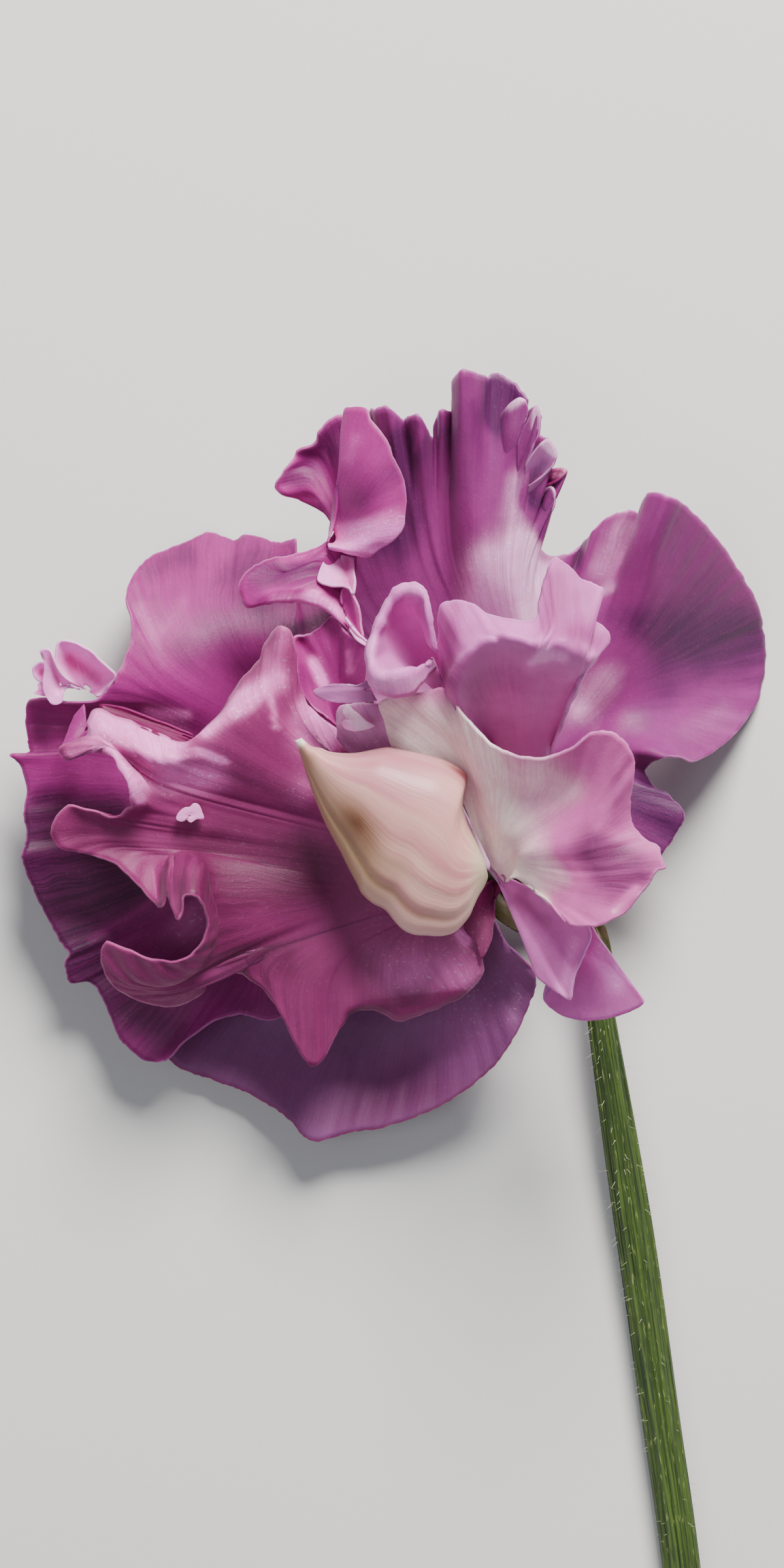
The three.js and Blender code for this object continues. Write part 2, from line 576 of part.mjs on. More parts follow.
function calyxGeometry({ mouth, sepalTurn }) {
  const sides = 15;
  const cup = loft(CALYX_PROFILE.map(([height, radius]) => Array.from({ length: sides }, (_, k) => {
    const angle = (k / sides) * 2 * Math.PI;
    return new THREE.Vector3(radius * Math.cos(angle), radius * Math.sin(angle), height - CALYX_DEPTH);
  })));
  let calyx = toSolid(cup);
  for (let n = 0; n < SEPALS; n++) {
    const turn = THREE.MathUtils.degToRad(sepalTurn + (n * 360) / SEPALS);
    const rings = SEPAL_SECTIONS.map(([out, rise, halfWidth, halfThickness]) => {
      const ring = [[1, 0], [0.5, 1], [-0.5, 1], [-1, 0], [-0.5, -1], [0.5, -1]].map(([across, up]) =>
        new THREE.Vector3(CALYX_RADIUS + out, across * halfWidth, rise + up * halfThickness));
      return ring.map((point) => point.applyAxisAngle(new THREE.Vector3(0, 0, 1), turn));
    });
    calyx = calyx.add(toSolid(loft(rings)));
  }
  return toGeometry(calyx.translate(mouth));
}

// ---------- keel ----------
// The boat-shaped keel of bloom a: its outline seen from above, and how far it stands out in the middle.
const KEEL_OUTLINE = [
  [9.8, -7.5], [9.5, -9.2], [8.5, -11], [6.8, -13.8], [5, -15.3], [2.5, -15.2], [0.4, -14], [-1.6, -12.2],
  [-3.4, -10.6], [-4.8, -8], [-6.2, -5], [-7.5, -2.4], [-8.6, 1], [-9.5, 3.2], [-9.6, 4.5], [-8.2, 3.9],
  [-6.2, 3.3], [-3.4, 3.3], [-0.5, 3.8], [2.2, 3.7], [5.2, 2.5], [7.3, 0.8], [7.4, -2.4], [8.6, -4.6],
];
const KEEL_FLOOR = 23.3;
const KEEL_HEIGHT = 5.0;
const KEEL_PLACE = -1; // among the claws of its bloom

function keelGeometry() {
  const outline = KEEL_OUTLINE.map(([x, y]) => new THREE.Vector3(x, y, KEEL_FLOOR));
  const middle = new THREE.Vector3(1.4, -5.6, KEEL_FLOOR);
  const levels = [[1, 0], [1.0, 0.14], [0.86, 0.5], [0.62, 0.78], [0.34, 0.95], [0.1, 1]];
  const rings = levels.map(([share, height]) => outline.map((point) => {
    const p = middle.clone().lerp(point, share);
    p.z = KEEL_FLOOR + height * KEEL_HEIGHT;
    return p;
  }));
  const hull = toSolid(loft(rings.map((ring) => ring.reverse())));
  const [x, y, z] = BLOOMS.a.mouth;
  const spread = new THREE.Vector3(...BLOOMS.a.spread, 0).normalize();
  spread.multiplyScalar(KEEL_PLACE * CLAW_SPACING);
  const foot = [x + spread.x, y + spread.y, z - CLAW_DEPTH];
  const bend = [foot[0], foot[1], KEEL_FLOOR - 0.8];
  const claw = rod([foot, bend, [9, -8.6, KEEL_FLOOR + 1.2]], () => 0.34, 10, 8);
  return toGeometry(hull.add(toSolid(claw)));
}

// ---------- the flower ----------
const flower = new THREE.Group();
function addMesh(name, geometry, material) {
  const mesh = new THREE.Mesh(geometry, material);
  mesh.name = name;
  flower.add(mesh);
}

for (const [name, petal] of Object.entries(PETALS)) {
  const columns = petal.veins.length - 1;
  addMesh(name, sheet(petalSurface(petal), Math.max(columns, Math.min(14, 3 * columns))), petal.material);
}
addMesh("keel_a", keelGeometry(), CREAM);
addMesh("stem", stemGeometry(), GREEN);
for (const [name, bloom] of Object.entries(BLOOMS)) {
  addMesh(`calyx_${name}`, calyxGeometry(bloom), CALYX_GREEN);
}

flower.position.set(...REST_SPOT).negate();

export default flower;
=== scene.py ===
# %% [markdown]
# # A sweet pea, laid on its back
# The real thing is one ribbed stem with three ruffled blooms at its tip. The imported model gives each
# petal, each calyx and the stem its place, so it is loaded first and everything else is made round it.
# Sizes below are in millimetres in the flower's own drawing, and `MM` turns them into metres.

# %% Load the frame
import math

import bmesh
import bpy
import numpy as np
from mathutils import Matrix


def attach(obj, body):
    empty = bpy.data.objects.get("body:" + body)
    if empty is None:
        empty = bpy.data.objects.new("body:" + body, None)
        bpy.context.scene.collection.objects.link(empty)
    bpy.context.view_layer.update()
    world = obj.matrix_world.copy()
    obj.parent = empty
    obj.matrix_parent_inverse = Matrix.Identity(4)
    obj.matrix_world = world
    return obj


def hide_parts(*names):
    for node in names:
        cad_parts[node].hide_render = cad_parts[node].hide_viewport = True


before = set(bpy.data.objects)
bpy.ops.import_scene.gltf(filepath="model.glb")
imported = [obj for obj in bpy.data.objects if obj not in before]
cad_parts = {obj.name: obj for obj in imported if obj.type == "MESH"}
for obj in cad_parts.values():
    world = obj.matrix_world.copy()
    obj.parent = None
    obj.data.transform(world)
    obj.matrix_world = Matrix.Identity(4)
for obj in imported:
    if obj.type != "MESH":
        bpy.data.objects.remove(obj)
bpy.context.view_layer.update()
MM = 0.001
REST_SPOT = np.array([-18.0, -14.0, 0.0])  # the frame's origin, in the drawing

# %% [markdown]
# ## The camera
# The flower is looked at from straight above, which is how the picture shows the blooms. It could be a
# flat, orthographic view. A long lens from over a metre away keeps the drawing's millimetres as readable,
# and near petals still come out a little larger than far ones.

# %% Camera
PICTURE_HEIGHT = 160.0  # millimetres of the drawing that the picture's long side shows
CAMERA_HEIGHT = 1200.0
FOCUS_HEIGHT = 18.0  # where the drawing's scale holds
SENSOR = 36.0


def place(x, y, z):
    """A point of the drawing, in metres in the frame."""
    return tuple((np.array([x, y, z], float) - REST_SPOT) * MM)


lens = bpy.data.cameras.new("overhead")
lens.sensor_width = SENSOR
lens.lens = SENSOR * (CAMERA_HEIGHT - FOCUS_HEIGHT) / PICTURE_HEIGHT
lens.clip_start = 0.05
lens.clip_end = 20.0
camera = bpy.data.objects.new("overhead", lens)
camera.location = place(0, 0, CAMERA_HEIGHT)
bpy.context.scene.collection.objects.link(camera)
bpy.context.scene.camera = camera
print("lens", round(lens.lens, 1), "mm")

# %% [markdown]
# ## Light
# Petals are thin, and their folds only read when light rakes over them. A sun lamp would do that with
# hard shadows. One large soft lamp, low beyond the blooms, keeps the shadows gentle, and a pale sky fills
# the shade.

# %% Light
HEAD = (0, 0, 15)  # the middle of the blooms, where both lamps point


def lamp(name, spot, size, watts, tint):
    light = bpy.data.lights.new(name, "AREA")
    light.shape = "DISK"
    light.size = size
    light.energy = watts
    light.color = tint
    thing = bpy.data.objects.new(name, light)
    thing.location = place(*spot)
    away = np.array(spot, float) - np.array(HEAD, float)
    tilt = math.acos(away[2] / np.linalg.norm(away))
    thing.rotation_euler = (tilt, 0, math.atan2(away[1], away[0]) + math.pi / 2)
    bpy.context.scene.collection.objects.link(thing)


lamp("key", (148, 553, 530), 0.35, 16.0, (1.0, 0.96, 0.92))
lamp("fill", (-300, -200, 800), 0.7, 2.0, (0.93, 0.95, 1.0))

sky = bpy.data.worlds.new("sky")
sky.use_nodes = True
backdrop = sky.node_tree.nodes["Background"].inputs
backdrop["Color"].default_value = (0.86, 0.90, 1.0, 1.0)
backdrop["Strength"].default_value = 0.16
bpy.context.scene.world = sky
print(len(bpy.data.lights), "lamps")

# %% [markdown]
# ## Writing materials as sums
# A petal's colour is a few soft masks added and mixed. The nodes could be added and linked one by one.
# Here `Amount` wraps a number socket so that masks can be written as plain sums, and `Recipe` adds any
# other node in one line, so that a finish reads like a mixture.

# %% Numbers that vary over a surface
class Amount:
    """A number that varies over a surface. Its operators add Math nodes."""

    def __init__(self, recipe, socket):
        self.recipe = recipe
        self.socket = socket

    def math(self, operation, *others):
        values = dict(enumerate((self, *others)))
        return self.recipe.node("ShaderNodeMath", values, operation=operation).amount()

    def __add__(self, other):
        return self.math("ADD", other)

    def __mul__(self, other):
        return self.math("MULTIPLY", other)

    def __sub__(self, other):
        return self.math("SUBTRACT", other)

    def __rsub__(self, other):
        return (self * -1.0) + other

    __radd__ = __add__
    __rmul__ = __mul__

    def ramp(self, low, high):
        """0 below low and 1 above high, with soft ends. low may be above high."""
        values = {"Value": self, "From Min": low, "From Max": high}
        ramp = self.recipe.node("ShaderNodeMapRange", values, interpolation_type="SMOOTHSTEP")
        return ramp.amount("Result")


class Made:
    """A node that was just added. Its outputs are taken by name or number."""

    def __init__(self, recipe, node):
        self.recipe = recipe
        self.node = node

    def out(self, name=0):
        return self.node.outputs[name]

    def amount(self, name=0):
        return Amount(self.recipe, self.node.outputs[name])


print("masks can be added, taken away and multiplied")

# %% Materials as recipes
class Recipe:
    """One material and the nodes in it."""

    def __init__(self, name):
        self.material = bpy.data.materials.new(name)
        self.material.use_nodes = True
        self.tree = self.material.node_tree
        self.tree.nodes.clear()

    def feed(self, socket, value):
        if isinstance(value, Amount):
            value = value.socket
        if isinstance(value, bpy.types.NodeSocket):
            self.tree.links.new(value, socket)
        else:
            socket.default_value = value

    def node(self, kind, values=None, **settings):
        node = self.tree.nodes.new(kind)
        for key, value in settings.items():
            setattr(node, key, value)
        for key, value in (values or {}).items():
            self.feed(node.inputs[key], value)
        return Made(self, node)

    def mix(self, share, low, high):
        """The colour low where share is 0 and high where it is 1."""
        return self.node("ShaderNodeMix", {0: share, 6: low, 7: high}, data_type="RGBA").out(2)

    def vector(self, x, y, z):
        return self.node("ShaderNodeCombineXYZ", {0: x, 1: y, 2: z}).out()

    def noise(self, vector, scale, detail=2.0, roughness=0.5):
        values = {"Vector": vector, "Scale": scale, "Detail": detail, "Roughness": roughness}
        return self.node("ShaderNodeTexNoise", values).amount("Fac")

    def on_object(self):
        """The place in the flower, in metres."""
        return self.node("ShaderNodeTexCoord").out("Object")

    def on_petal(self):
        """The place round the margin and the share of the way to it, from the piece's UV map."""
        split = self.node("ShaderNodeSeparateXYZ", {0: self.node("ShaderNodeUVMap", uv_map="petal").out()})
        return split.amount("X"), split.amount("Y")

    def finish(self, values, lift, strength, distance):
        """Close the material with these values of its shader and with lift as its relief."""
        bump = self.node("ShaderNodeBump", {"Height": lift, "Strength": strength, "Distance": distance})
        surface = self.node("ShaderNodeBsdfPrincipled", {**values, "Normal": bump.out()})
        self.node("ShaderNodeOutputMaterial", {"Surface": surface.out()})
        return self.material


def colour(red, green, blue):
    """A colour given as it looks on a screen, 0 to 255, as linear light."""
    screen = (v / 255 for v in (red, green, blue))
    return (*(((v + 0.055) / 1.055) ** 2.4 if v > 0.04 else v / 12.92 for v in screen), 1.0)


print("recipes ready")

# %% [markdown]
# ## Floor
# The flower lies on a plain pale sheet. Open sky would look more like a garden, but then nothing would
# catch the soft shadows that show how high each petal stands.

# %% Floor
FLOOR_REACH = 1.5  # metres from its middle to each side
FLOOR_GREY = (0.72, 0.72, 0.71, 1.0)
sheet = bmesh.new()
bmesh.ops.create_grid(sheet, x_segments=2, y_segments=2, size=FLOOR_REACH)
floor_mesh = bpy.data.meshes.new("floor")
sheet.to_mesh(floor_mesh)
sheet.free()
floor = bpy.data.objects.new("floor", floor_mesh)
bpy.context.scene.collection.objects.link(floor)
paper = Recipe("floor_sheet")
paper_grain = paper.noise(paper.on_object(), 900.0, detail=3.0)
paper_values = {"Base Color": FLOOR_GREY, "Roughness": 0.8}
floor_mesh.materials.append(paper.finish(paper_values, paper_grain, 0.15, 0.0001))
print("floor", 2 * FLOOR_REACH, "m wide")

# %% [markdown]
# ## What a petal is drawn from
# A petal grows as a fan of main veins from its narrow claw in the calyx to its waved margin. It could be
# sculpted, or cut from a flat sheet and bent. Here each petal is a list of veins, and each vein a few
# given points, x, y and z: its crests, and then the margin. Where a margin rolls, its veins have
# more points, and where it is waved they stand closer. The petals lie one behind the other in a calyx:
# place is how far along it a claw stands, throat is the height where a petal leaves it, and cup sinks the
# petal's hollow.

# %% Calyces that the petals stand in
BLOOMS = {
    # bloom: its calyx's mouth, and the way in which its petals lie one behind the other
    "a": dict(mouth=(10.4, -9.4, 12.8), spread=(-0.8, -0.6)),
    "b": dict(mouth=(14.2, 1.2, 10.4), spread=(0.45, 0.9)),
    "c": dict(mouth=(-4.8, -1.0, 7.6), spread=(-0.85, 0.5)),
}
print(len(BLOOMS), "blooms")

# %% Veins of bloom a, at the left and in the middle
PETALS_A = {
    "standard_a": dict(bloom="a", place=1, throat=16.6, cup=1.0, veins=[
        [(3, -3, 17.6), (-1.8, 3.6, 18.4)], [(0, -1.5, 17.8), (-4.4, 5, 18.8)],
        [(-3, 0.5, 18.2), (-6.6, 6.3, 19.4)], [(-5.5, 2.5, 18.8), (-8.8, 8.4, 20.2)],
        [(-7.5, 4.5, 19.6), (-9.6, 10.4, 21.2)], [(-8.8, 6.2, 20.4), (-9.85, 13, 22)],
        [(-9.8, 7.2, 21), (-10.2, 15.4, 22.6)], [(-10.8, 7.8, 21.4), (-11.4, 16.05, 22.6)],
        [(-11.8, 7.8, 21.8), (-12.6, 14.8, 20.6)], [(-12.8, 7.6, 22), (-13.6, 12.6, 19.6)],
        [(-14.2, 6.8, 22), (-15.4, 10.5, 18.6)], [(-16, 5.6, 21.8), (-17, 8, 18.2)],
        [(-18, 4.2, 21.2), (-19.2, 5.4, 18.6)], [(-20, 3.3, 20.6), (-20.7, 4.2, 18.2)],
        [(-19, 1.4, 18.8), (-22, 2.65, 20.6), (-22.4, 4.5, 17.4)],
        [(-20.5, 0.6, 18.2), (-23.6, 2.5, 20.6), (-24.4, 5.4, 16.8)],
        [(-21.5, 0.2, 17.8), (-25.2, 3, 20.6), (-26.6, 6.3, 16.4)],
        [(-21.9, 0.1, 17.6), (-26.8, 3.6, 20.4), (-28.6, 7.1, 16.4)],
        [(-22.1, -0.05, 17.5), (-28, 4, 20.2), (-30.2, 7.6, 16.6)],
        [(-22.25, -0.2, 17.5), (-28.6, 4.2, 20), (-31.1, 6.4, 17.2)],
        [(-22.35, -0.35, 17.4), (-28.9, 4.1, 20), (-31, 4.9, 18)],
        [(-22.4, -0.5, 17.4), (-28.9, 3.9, 20), (-32.2, 4.4, 18.4)],
        [(-22.45, -0.65, 17.35), (-28.8, 3.7, 20), (-34, 3.6, 18.6)],
        [(-22.5, -0.8, 17.3), (-28.7, 3.6, 20), (-33.1, 2.4, 18.8)],
        [(-22.5, -0.95, 17.3), (-28.5, 3.5, 20.1), (-31.2, 3.2, 19.4)],
        [(-22.5, -1.1, 17.25), (-28.1, 3.3, 20.2), (-28.6, 2.8, 20.6)],
        [(-22.5, -1.3, 17.15), (-27, 2.1, 20.3), (-27.7, 1.4, 20.9)],
        [(-22.5, -1.55, 17), (-26, 1, 20.2), (-27, 0.3, 21)],
        [(-22.5, -1.9, 16.8), (-25.2, -0.2, 19.8), (-26.7, -0.8, 20.8)],
        [(-22.6, -2.4, 16.7), (-25.2, -1.4, 19.2), (-26.6, -1.7, 20.2)],
        [(-23.2, -3, 16.5), (-25.8, -2.4, 18.4), (-26.8, -2.4, 19)],
        [(-24.6, -3.6, 16.2), (-28.4, -3.4, 17.4)], [(-26, -4, 16), (-30.6, -2.8, 17.4)],
        [(-27.4, -4.2, 15.9), (-33.1, -2.2, 17)], [(-28.4, -4.8, 15.6), (-34.9, -4.6, 16)],
        [(-28, -5.6, 15.3), (-34, -6.5, 15.6)], [(-26.6, -6.4, 15.1), (-31, -7.2, 15.4)],
        [(-25, -7, 15), (-28.3, -8.2, 15.8)], [(-23.4, -7.4, 15), (-26.2, -10.1, 16.8)],
        [(-22.2, -7.6, 15.2), (-24.6, -11.8, 18)], [(-21.6, -7.5, 15.6), (-23.8, -12.6, 19)],
        [(-21.2, -7.2, 16), (-23, -9, 18.4), (-23.3, -12.4, 20)],
        [(-20.8, -7, 16.4), (-22.7, -8.6, 18.8), (-22.8, -11.4, 20.6)],
        [(-20.5, -6.8, 16.8), (-22.2, -8.4, 19.6), (-22, -13.6, 23)],
        [(-20, -6.6, 17.1), (-21.4, -7.9, 20.2), (-21.3, -13.2, 23.4)],
        [(-19.4, -6.8, 17.4), (-20.6, -7.7, 20.6), (-21.2, -11.6, 23.8)],
        [(-18.7, -7.2, 17.6), (-19.7, -7.9, 20.8), (-20.2, -11.4, 23.9)],
        [(-18, -8, 17.8), (-18.9, -8.8, 20.8), (-19.4, -12, 23.4)],
        [(-17.4, -9.6, 17.9), (-18.5, -10.6, 20.6), (-18.9, -12.9, 22.6)],
        [(-17, -12, 17.9), (-17.9, -13.1, 20.2), (-18.8, -14.4, 21.4)],
        [(-16.9, -14.2, 17.5), (-17.9, -15.3, 19.6), (-19.4, -16.1, 20.6)],
        [(-17.2, -16.2, 16.8), (-18.6, -17.4, 18.8), (-20.9, -17.7, 19.6)],
        [(-17.9, -17.8, 16.2), (-20.4, -19.4, 17.8), (-23.4, -18.05, 18.6)],
        [(-18.6, -18.8, 15.8), (-23.2, -20.6, 16.6), (-26.4, -17.2, 17.4)],
        [(-19.2, -19.6, 15.4), (-25.6, -20.4, 15.4), (-29.2, -16.1, 15.8)],
        [(-19.8, -20.4, 15), (-26.2, -20.6, 14.8), (-29.7, -18.2, 14.4)],
        [(-20, -20.8, 14.6), (-25.4, -21.2, 14.3), (-28.4, -20.8, 13.6)],
        [(-19.8, -20.9, 14.7), (-25.2, -22.4, 13.2)], [(-19, -20.3, 15), (-22, -22.7, 13.2)],
        [(-18, -19.2, 15.3), (-19.8, -21.6, 13.6)], [(-16.8, -18, 15.5), (-18.4, -19.9, 14)],
        [(-15.6, -17.4, 15.5), (-16.6, -19.2, 14.2)], [(-14, -17.2, 15.4), (-14.6, -19.9, 14.4)],
        [(-12, -17.5, 15.3), (-12.4, -21.9, 14.2)], [(-10.4, -18.2, 15.2), (-10.9, -24.6, 14)],
        [(-9, -19, 15.1), (-9.4, -27.6, 13.6)], [(-7.8, -19.4, 15.1), (-8.2, -28.9, 13.4)],
        [(-6.6, -19.2, 15), (-6.9, -28, 13.5)], [(-5.2, -18.4, 14.9), (-5.6, -25.4, 14.2)],
        [(-3.6, -17.4, 14.9), (-3.9, -22.6, 14.9), (-4.3, -23.6, 13.8)],
        [(-1.6, -17, 15), (-1.9, -21.8, 15), (-2, -23, 13.8)],
        [(0.6, -17, 15.1), (1, -22.8, 14.8), (0.8, -24.2, 13.6)],
        [(2.8, -16.5, 15.3), (4, -22, 15), (4, -23.1, 13.8)],
        [(4.6, -15.7, 15), (6.6, -20.6, 15), (7.2, -21.7, 13.8)],
        [(5.8, -14.8, 15.5), (8.4, -18.7, 15.6), (9.2, -19.3, 14.8)],
        [(6.3, -13.8, 15.9), (8.9, -16.6, 16)], [(6.6, -13, 16.1), (8, -15.1, 16.5)],
        [(6.8, -12.2, 16.2), (7.4, -13.6, 16.6)],
    ]),
    "standard_a_outer": dict(bloom="a", place=2, throat=14.6, cup=0, veins=[
        [(11.2, -15.6, 14.2), (11.4, -17, 13.2)], [(11.6, -16.2, 13.6), (13.3, -17.8, 12.4)],
        [(11.6, -17.2, 12.2), (14.8, -20, 10.8)], [(10.5, -18, 9.4), (14, -23, 8.8)],
        [(9.5, -20, 7), (12, -27, 8.4)], [(7.5, -22, 6), (9, -30.4, 7.4)], [(5, -24, 5), (4.7, -33.3, 6.6)],
        [(2, -25, 4.4), (-0.5, -35.3, 5.6)], [(-1.5, -25.5, 4), (-4.5, -36, 5.2)],
        [(-4.5, -25.5, 3.8), (-8.3, -36.8, 5.6)], [(-7.5, -25, 3.4), (-11, -34.3, 4.4)],
        [(-10, -24, 3), (-14.8, -32, 3.2)], [(-12.5, -23, 2.6), (-18.5, -30.6, 2.6)],
        [(-15, -21.5, 2), (-22.5, -29, 2.2)], [(-16.5, -19, 0.6), (-25, -25.5, 1)],
        [(-17, -16, -0.3), (-26, -20, 0.2)], [(-16, -12, -0.5), (-24, -13, -0.2)],
        [(-13, -8, 0), (-20, -7, 0.3)],
    ]),
    "wing_a_right": dict(bloom="a", place=-0.5, throat=20.2, cup=-0.6, veins=[
        [(8.4, -4.8, 21.6), (6.2, -0.4, 21.8), (-0.1, 3.7, 22.4)],
        [(8.6, -4.4, 21.9), (6.2, 1, 22.2), (-0.7, 6, 23.4)],
        [(8.8, -4.2, 22.4), (6.6, 2.4, 23), (-1.3, 8.1, 24)], [(9, -4, 23), (7, 3.2, 24), (0, 8.9, 24.6)],
        [(9.2, -3.8, 23.8), (7.2, 3.6, 25.2), (3, 9.3, 25.4)],
        [(9.4, -3.6, 24.6), (7.4, 3.8, 26.6), (5, 9.8, 26)],
        [(9.6, -3.5, 25.4), (7.7, 3.4, 27.6), (6.2, 9.2, 27.2)],
        [(9.8, -3.5, 26), (8.2, 2.8, 28.2), (7, 7.2, 28.8)],
        [(10.1, -3.6, 26.4), (9.2, 1.6, 28.8), (8.6, 5.6, 30.2)],
        [(10.5, -3.8, 26.8), (10.6, 0.2, 29.4), (10.2, 3.9, 31.8)],
        [(11, -4, 27.2), (12.4, -0.8, 30), (12.2, 3, 33.4)],
        [(11.5, -4.3, 27.6), (14.2, -1.2, 30.6), (14.4, 2.65, 34.8)],
        [(12, -4.6, 28), (15.8, -1.4, 31.2), (16.4, 2.9, 35.6)],
        [(12.4, -5, 28.4), (16.9, -1.2, 31.8), (18, 3.7, 36.2)],
        [(12.8, -5.2, 28.8), (17.8, -1, 32.2), (19.4, 4.7, 36.8)],
        [(13, -5.4, 29), (18.4, -1.2, 32.6), (20.6, 5.35, 37.2)],
        [(13.2, -5.6, 29.2), (18.9, -1.6, 33), (22, 5.2, 37.4)],
        [(13.4, -5.8, 29.4), (19.4, -2.2, 33.4), (23.4, 4.2, 37)],
        [(13.6, -6, 29.6), (19.9, -2.8, 33.7), (24.3, 2.8, 36.2)],
        [(13.8, -6.2, 29.8), (20.1, -3.6, 34), (24.35, 1.2, 35.4)],
        [(14, -6.4, 29.9), (20.1, -4.6, 34.2), (24.05, -1, 34.3)],
        [(14, -6.7, 29.9), (19.9, -5.4, 34.1), (24, -3, 33.5)],
        [(13.9, -7, 29.8), (19.7, -6.2, 34), (24.5, -4.5, 33.2)],
        [(13.8, -7.3, 29.6), (19.6, -7, 33.8), (25.6, -5.6, 33.4)],
        [(13.7, -7.6, 29.4), (19.5, -7.6, 33.4), (26.8, -6.3, 34)],
        [(13.6, -7.9, 29.2), (19.4, -8.2, 33.2), (27.1, -7.3, 35)],
        [(13.5, -8.1, 29), (19.2, -8.8, 33), (27.5, -8.3, 35.8)],
        [(13.4, -8.3, 28.8), (18.9, -9.3, 32.8), (26.6, -8.8, 36.4)],
        [(13.3, -8.5, 28.5), (18.5, -9.9, 32.5), (25.9, -9.8, 36.8)],
        [(13.2, -8.7, 28.2), (18, -10.4, 32.2), (25, -11, 37)],
        [(13.1, -8.8, 27.9), (17.6, -10.8, 31.9), (24.2, -12.1, 37.1)],
        [(13, -8.9, 27.6), (17.2, -11.1, 31.6), (22.8, -13.2, 37)],
        [(12.9, -9, 27.2), (16.7, -11.4, 31.1), (21.4, -14, 36.6)],
        [(12.8, -9.1, 26.8), (16.2, -11.6, 30.6), (19.9, -14.25, 36)],
        [(12.7, -9.2, 26.3), (15.7, -11.7, 29.9), (18.6, -14.3, 35)],
        [(12.6, -9.3, 25.8), (15.2, -11.4, 29), (17.7, -14, 33.8)],
        [(12.5, -9.3, 25.2), (14.2, -10.6, 27.4), (16, -12.1, 31)],
        [(12.3, -9.3, 24.6), (13.3, -9.9, 26), (14.6, -10.85, 28.6)],
    ]),
    "wing_a_left": dict(bloom="a", place=0, throat=17.8, cup=0.2, veins=[
        [(1, -3, 19.4), (-5.6, 4.6, 21)], [(1.6, -1, 19.4), (-5.4, 7.8, 22.2)],
        [(2.6, 0.5, 19.4), (-2, 8.2, 22.4)], [(3.8, 1.5, 19.4), (0.8, 7.4, 21.6)],
        [(5, 1.5, 19.4), (3.6, 6, 20.8)], [(6, 0.5, 19.4), (5.6, 3.6, 20)],
        [(6.8, -1.5, 19.4), (6.8, 1, 19.8)],
    ]),
}
print(sum(len(petal["veins"]) for petal in PETALS_A.values()), "veins in", len(PETALS_A), "petals")

